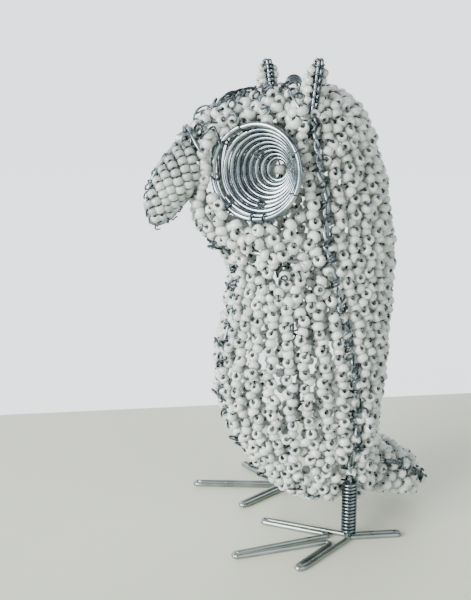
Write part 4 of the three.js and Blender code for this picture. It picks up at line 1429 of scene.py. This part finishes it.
# %% Table and backdrop
def plain_surface(name, colour_from, colour_to, scale, roughness, glow=0.0):
    material, tree, place = new_material(name)
    shade(tree, {
        "Base Color": tones(tree, noise(tree, place, scale, 5.0), colour_from, colour_to),
        "Roughness": roughness,
        "Emission Color": linear("#F1F5F8"),
        "Emission Strength": glow,
    })
    return material


def sheet(name, rows, material):
    """A sheet through rows of points, each row from one side to the other."""
    points = [tuple(point) for row in rows for point in row]
    wide = len(rows[0])
    faces = [
        (r * wide + k, r * wide + k + 1, (r + 1) * wide + k + 1, (r + 1) * wide + k)
        for r in range(len(rows) - 1) for k in range(wide - 1)
    ]
    mesh = bpy.data.meshes.new(name)
    mesh.from_pydata(points, [], faces)
    mesh.shade_smooth()
    mesh.materials.append(material)
    made = bpy.data.objects.new(name, mesh)
    bpy.context.scene.collection.objects.link(made)
    made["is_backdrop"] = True


PICTURE_MIDDLE = (235.5, 300)    # pixels
FOCAL_LENGTH = 800               # pixels


def floor_point(px, py):
    """The point of the floor that the camera sees at a pixel of the photograph's frame."""
    right = (px - PICTURE_MIDDLE[0]) / FOCAL_LENGTH
    up = -(py - PICTURE_MIDDLE[1]) / FOCAL_LENGTH
    turned = Matrix.Rotation(CAMERA_TURN, 3, "Z") @ Matrix.Rotation(CAMERA_TILT, 3, "X")
    ray = turned @ Vector((right, up, -1))
    return camera.location + ray * (-camera.location.z / ray.z)


far_left, far_right = floor_point(0, 415), floor_point(470, 393)
edge_way = (far_right - far_left).normalized()
away = Vector((edge_way.y, -edge_way.x, 0))
if away.dot(camera.location) > 0:
    away = -away
HALF_SHEET = 10                  # m that the table and the sheet go on past the picture's sides
edge = [far_left - edge_way * HALF_SHEET, far_right + edge_way * HALF_SHEET]
SWEEP_START = 2.0                # m behind the table's edge
SWEEP_RADIUS = 2.0
table_paint = plain_surface("matt_white_table", "#D3D7C2", "#D9DDCA", 6.0, 0.45)
sheet_paint = plain_surface("white_backdrop_lit_from_behind", "#6E7276", "#777B7F", 9.0, 0.8, 2.15)
sheet("table", [[corner - away * 6 for corner in edge], edge], table_paint)
rows = [edge, [corner + away * SWEEP_START for corner in edge]]
for a in np.linspace(0, math.pi / 2, 13)[1:]:
    back = away * (SWEEP_START + SWEEP_RADIUS * math.sin(a))
    rise = Vector((0, 0, SWEEP_RADIUS * (1 - math.cos(a))))
    rows.append([corner + back + rise for corner in edge])
rows.append([corner + Vector((0, 0, 3)) for corner in rows[-1]])
sheet("backdrop", rows, sheet_paint)
print("the table ends", round(far_left.length, 2), "m behind the owl")

# %% [markdown]
# Soft daylight comes from a window on the left, with a weaker fill from the right. The room is
# bright towards the window and dim on the other side, which the bright wires mirror.

# %% Light
def soft_light(name, place, target, size, power, colour):
    data = bpy.data.lights.new(name, "AREA")
    data.shape = "DISK"
    data.size = size
    data.energy = power
    data.color = linear(colour)[:3]
    lamp = bpy.data.objects.new(name, data)
    lamp.location = place
    lamp.rotation_euler = (Vector(target) - Vector(place)).to_track_quat("-Z", "Y").to_euler()
    lamp.visible_camera = False
    bpy.context.scene.collection.objects.link(lamp)


BODY_MIDDLE = (0, 0, 0.08)
soft_light("window", (0.68, -2.0, 0.8), BODY_MIDDLE, 1.7, 116.0, "#FFFFFF")
soft_light("fill", (1.7, 0.8, 0.72), BODY_MIDDLE, 2.1, 22.0, "#F4F8FF")
world = bpy.data.worlds.new("room_light")
world.use_nodes = True
room = world.node_tree
way = add(room, "ShaderNodeTexCoord").outputs["Generated"]
towards = add(room, "ShaderNodeVectorMath", {0: way, 1: (-0.13, -0.92, 0.37)}, operation="DOT_PRODUCT")
level = map_range(room, towards.outputs["Value"], 0.1, 0.95, -0.5, 0.9)
sky = room.nodes["Background"]
sky.inputs["Color"].default_value = linear("#EEF2F4")
room.links.new(level, sky.inputs["Strength"])
bpy.context.scene.world = world

# %% Sizes of the dressed owl, and the end
look_low, look_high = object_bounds()
sizes = {"cad": [list(cad_low), list(cad_high)], "look": [list(look_low), list(look_high)]}
SMALL = 0.00002                  # m
for piece in bpy.context.scene.objects:
    if piece.type == "MESH" and piece.name not in ("table", "backdrop"):
        spots = np.array([vertex.co for vertex in piece.data.vertices])
        past = max((box_low - spots.min(axis=0)).max(), (spots.max(axis=0) - box_high).max())
        if past > SMALL:
            print(piece.name, "stands out of the frame's box by", round(float(past) / MM, 2), "mm")
print("dressed box in mm:", [round(v / MM, 1) for v in (*look_low, *look_high)])
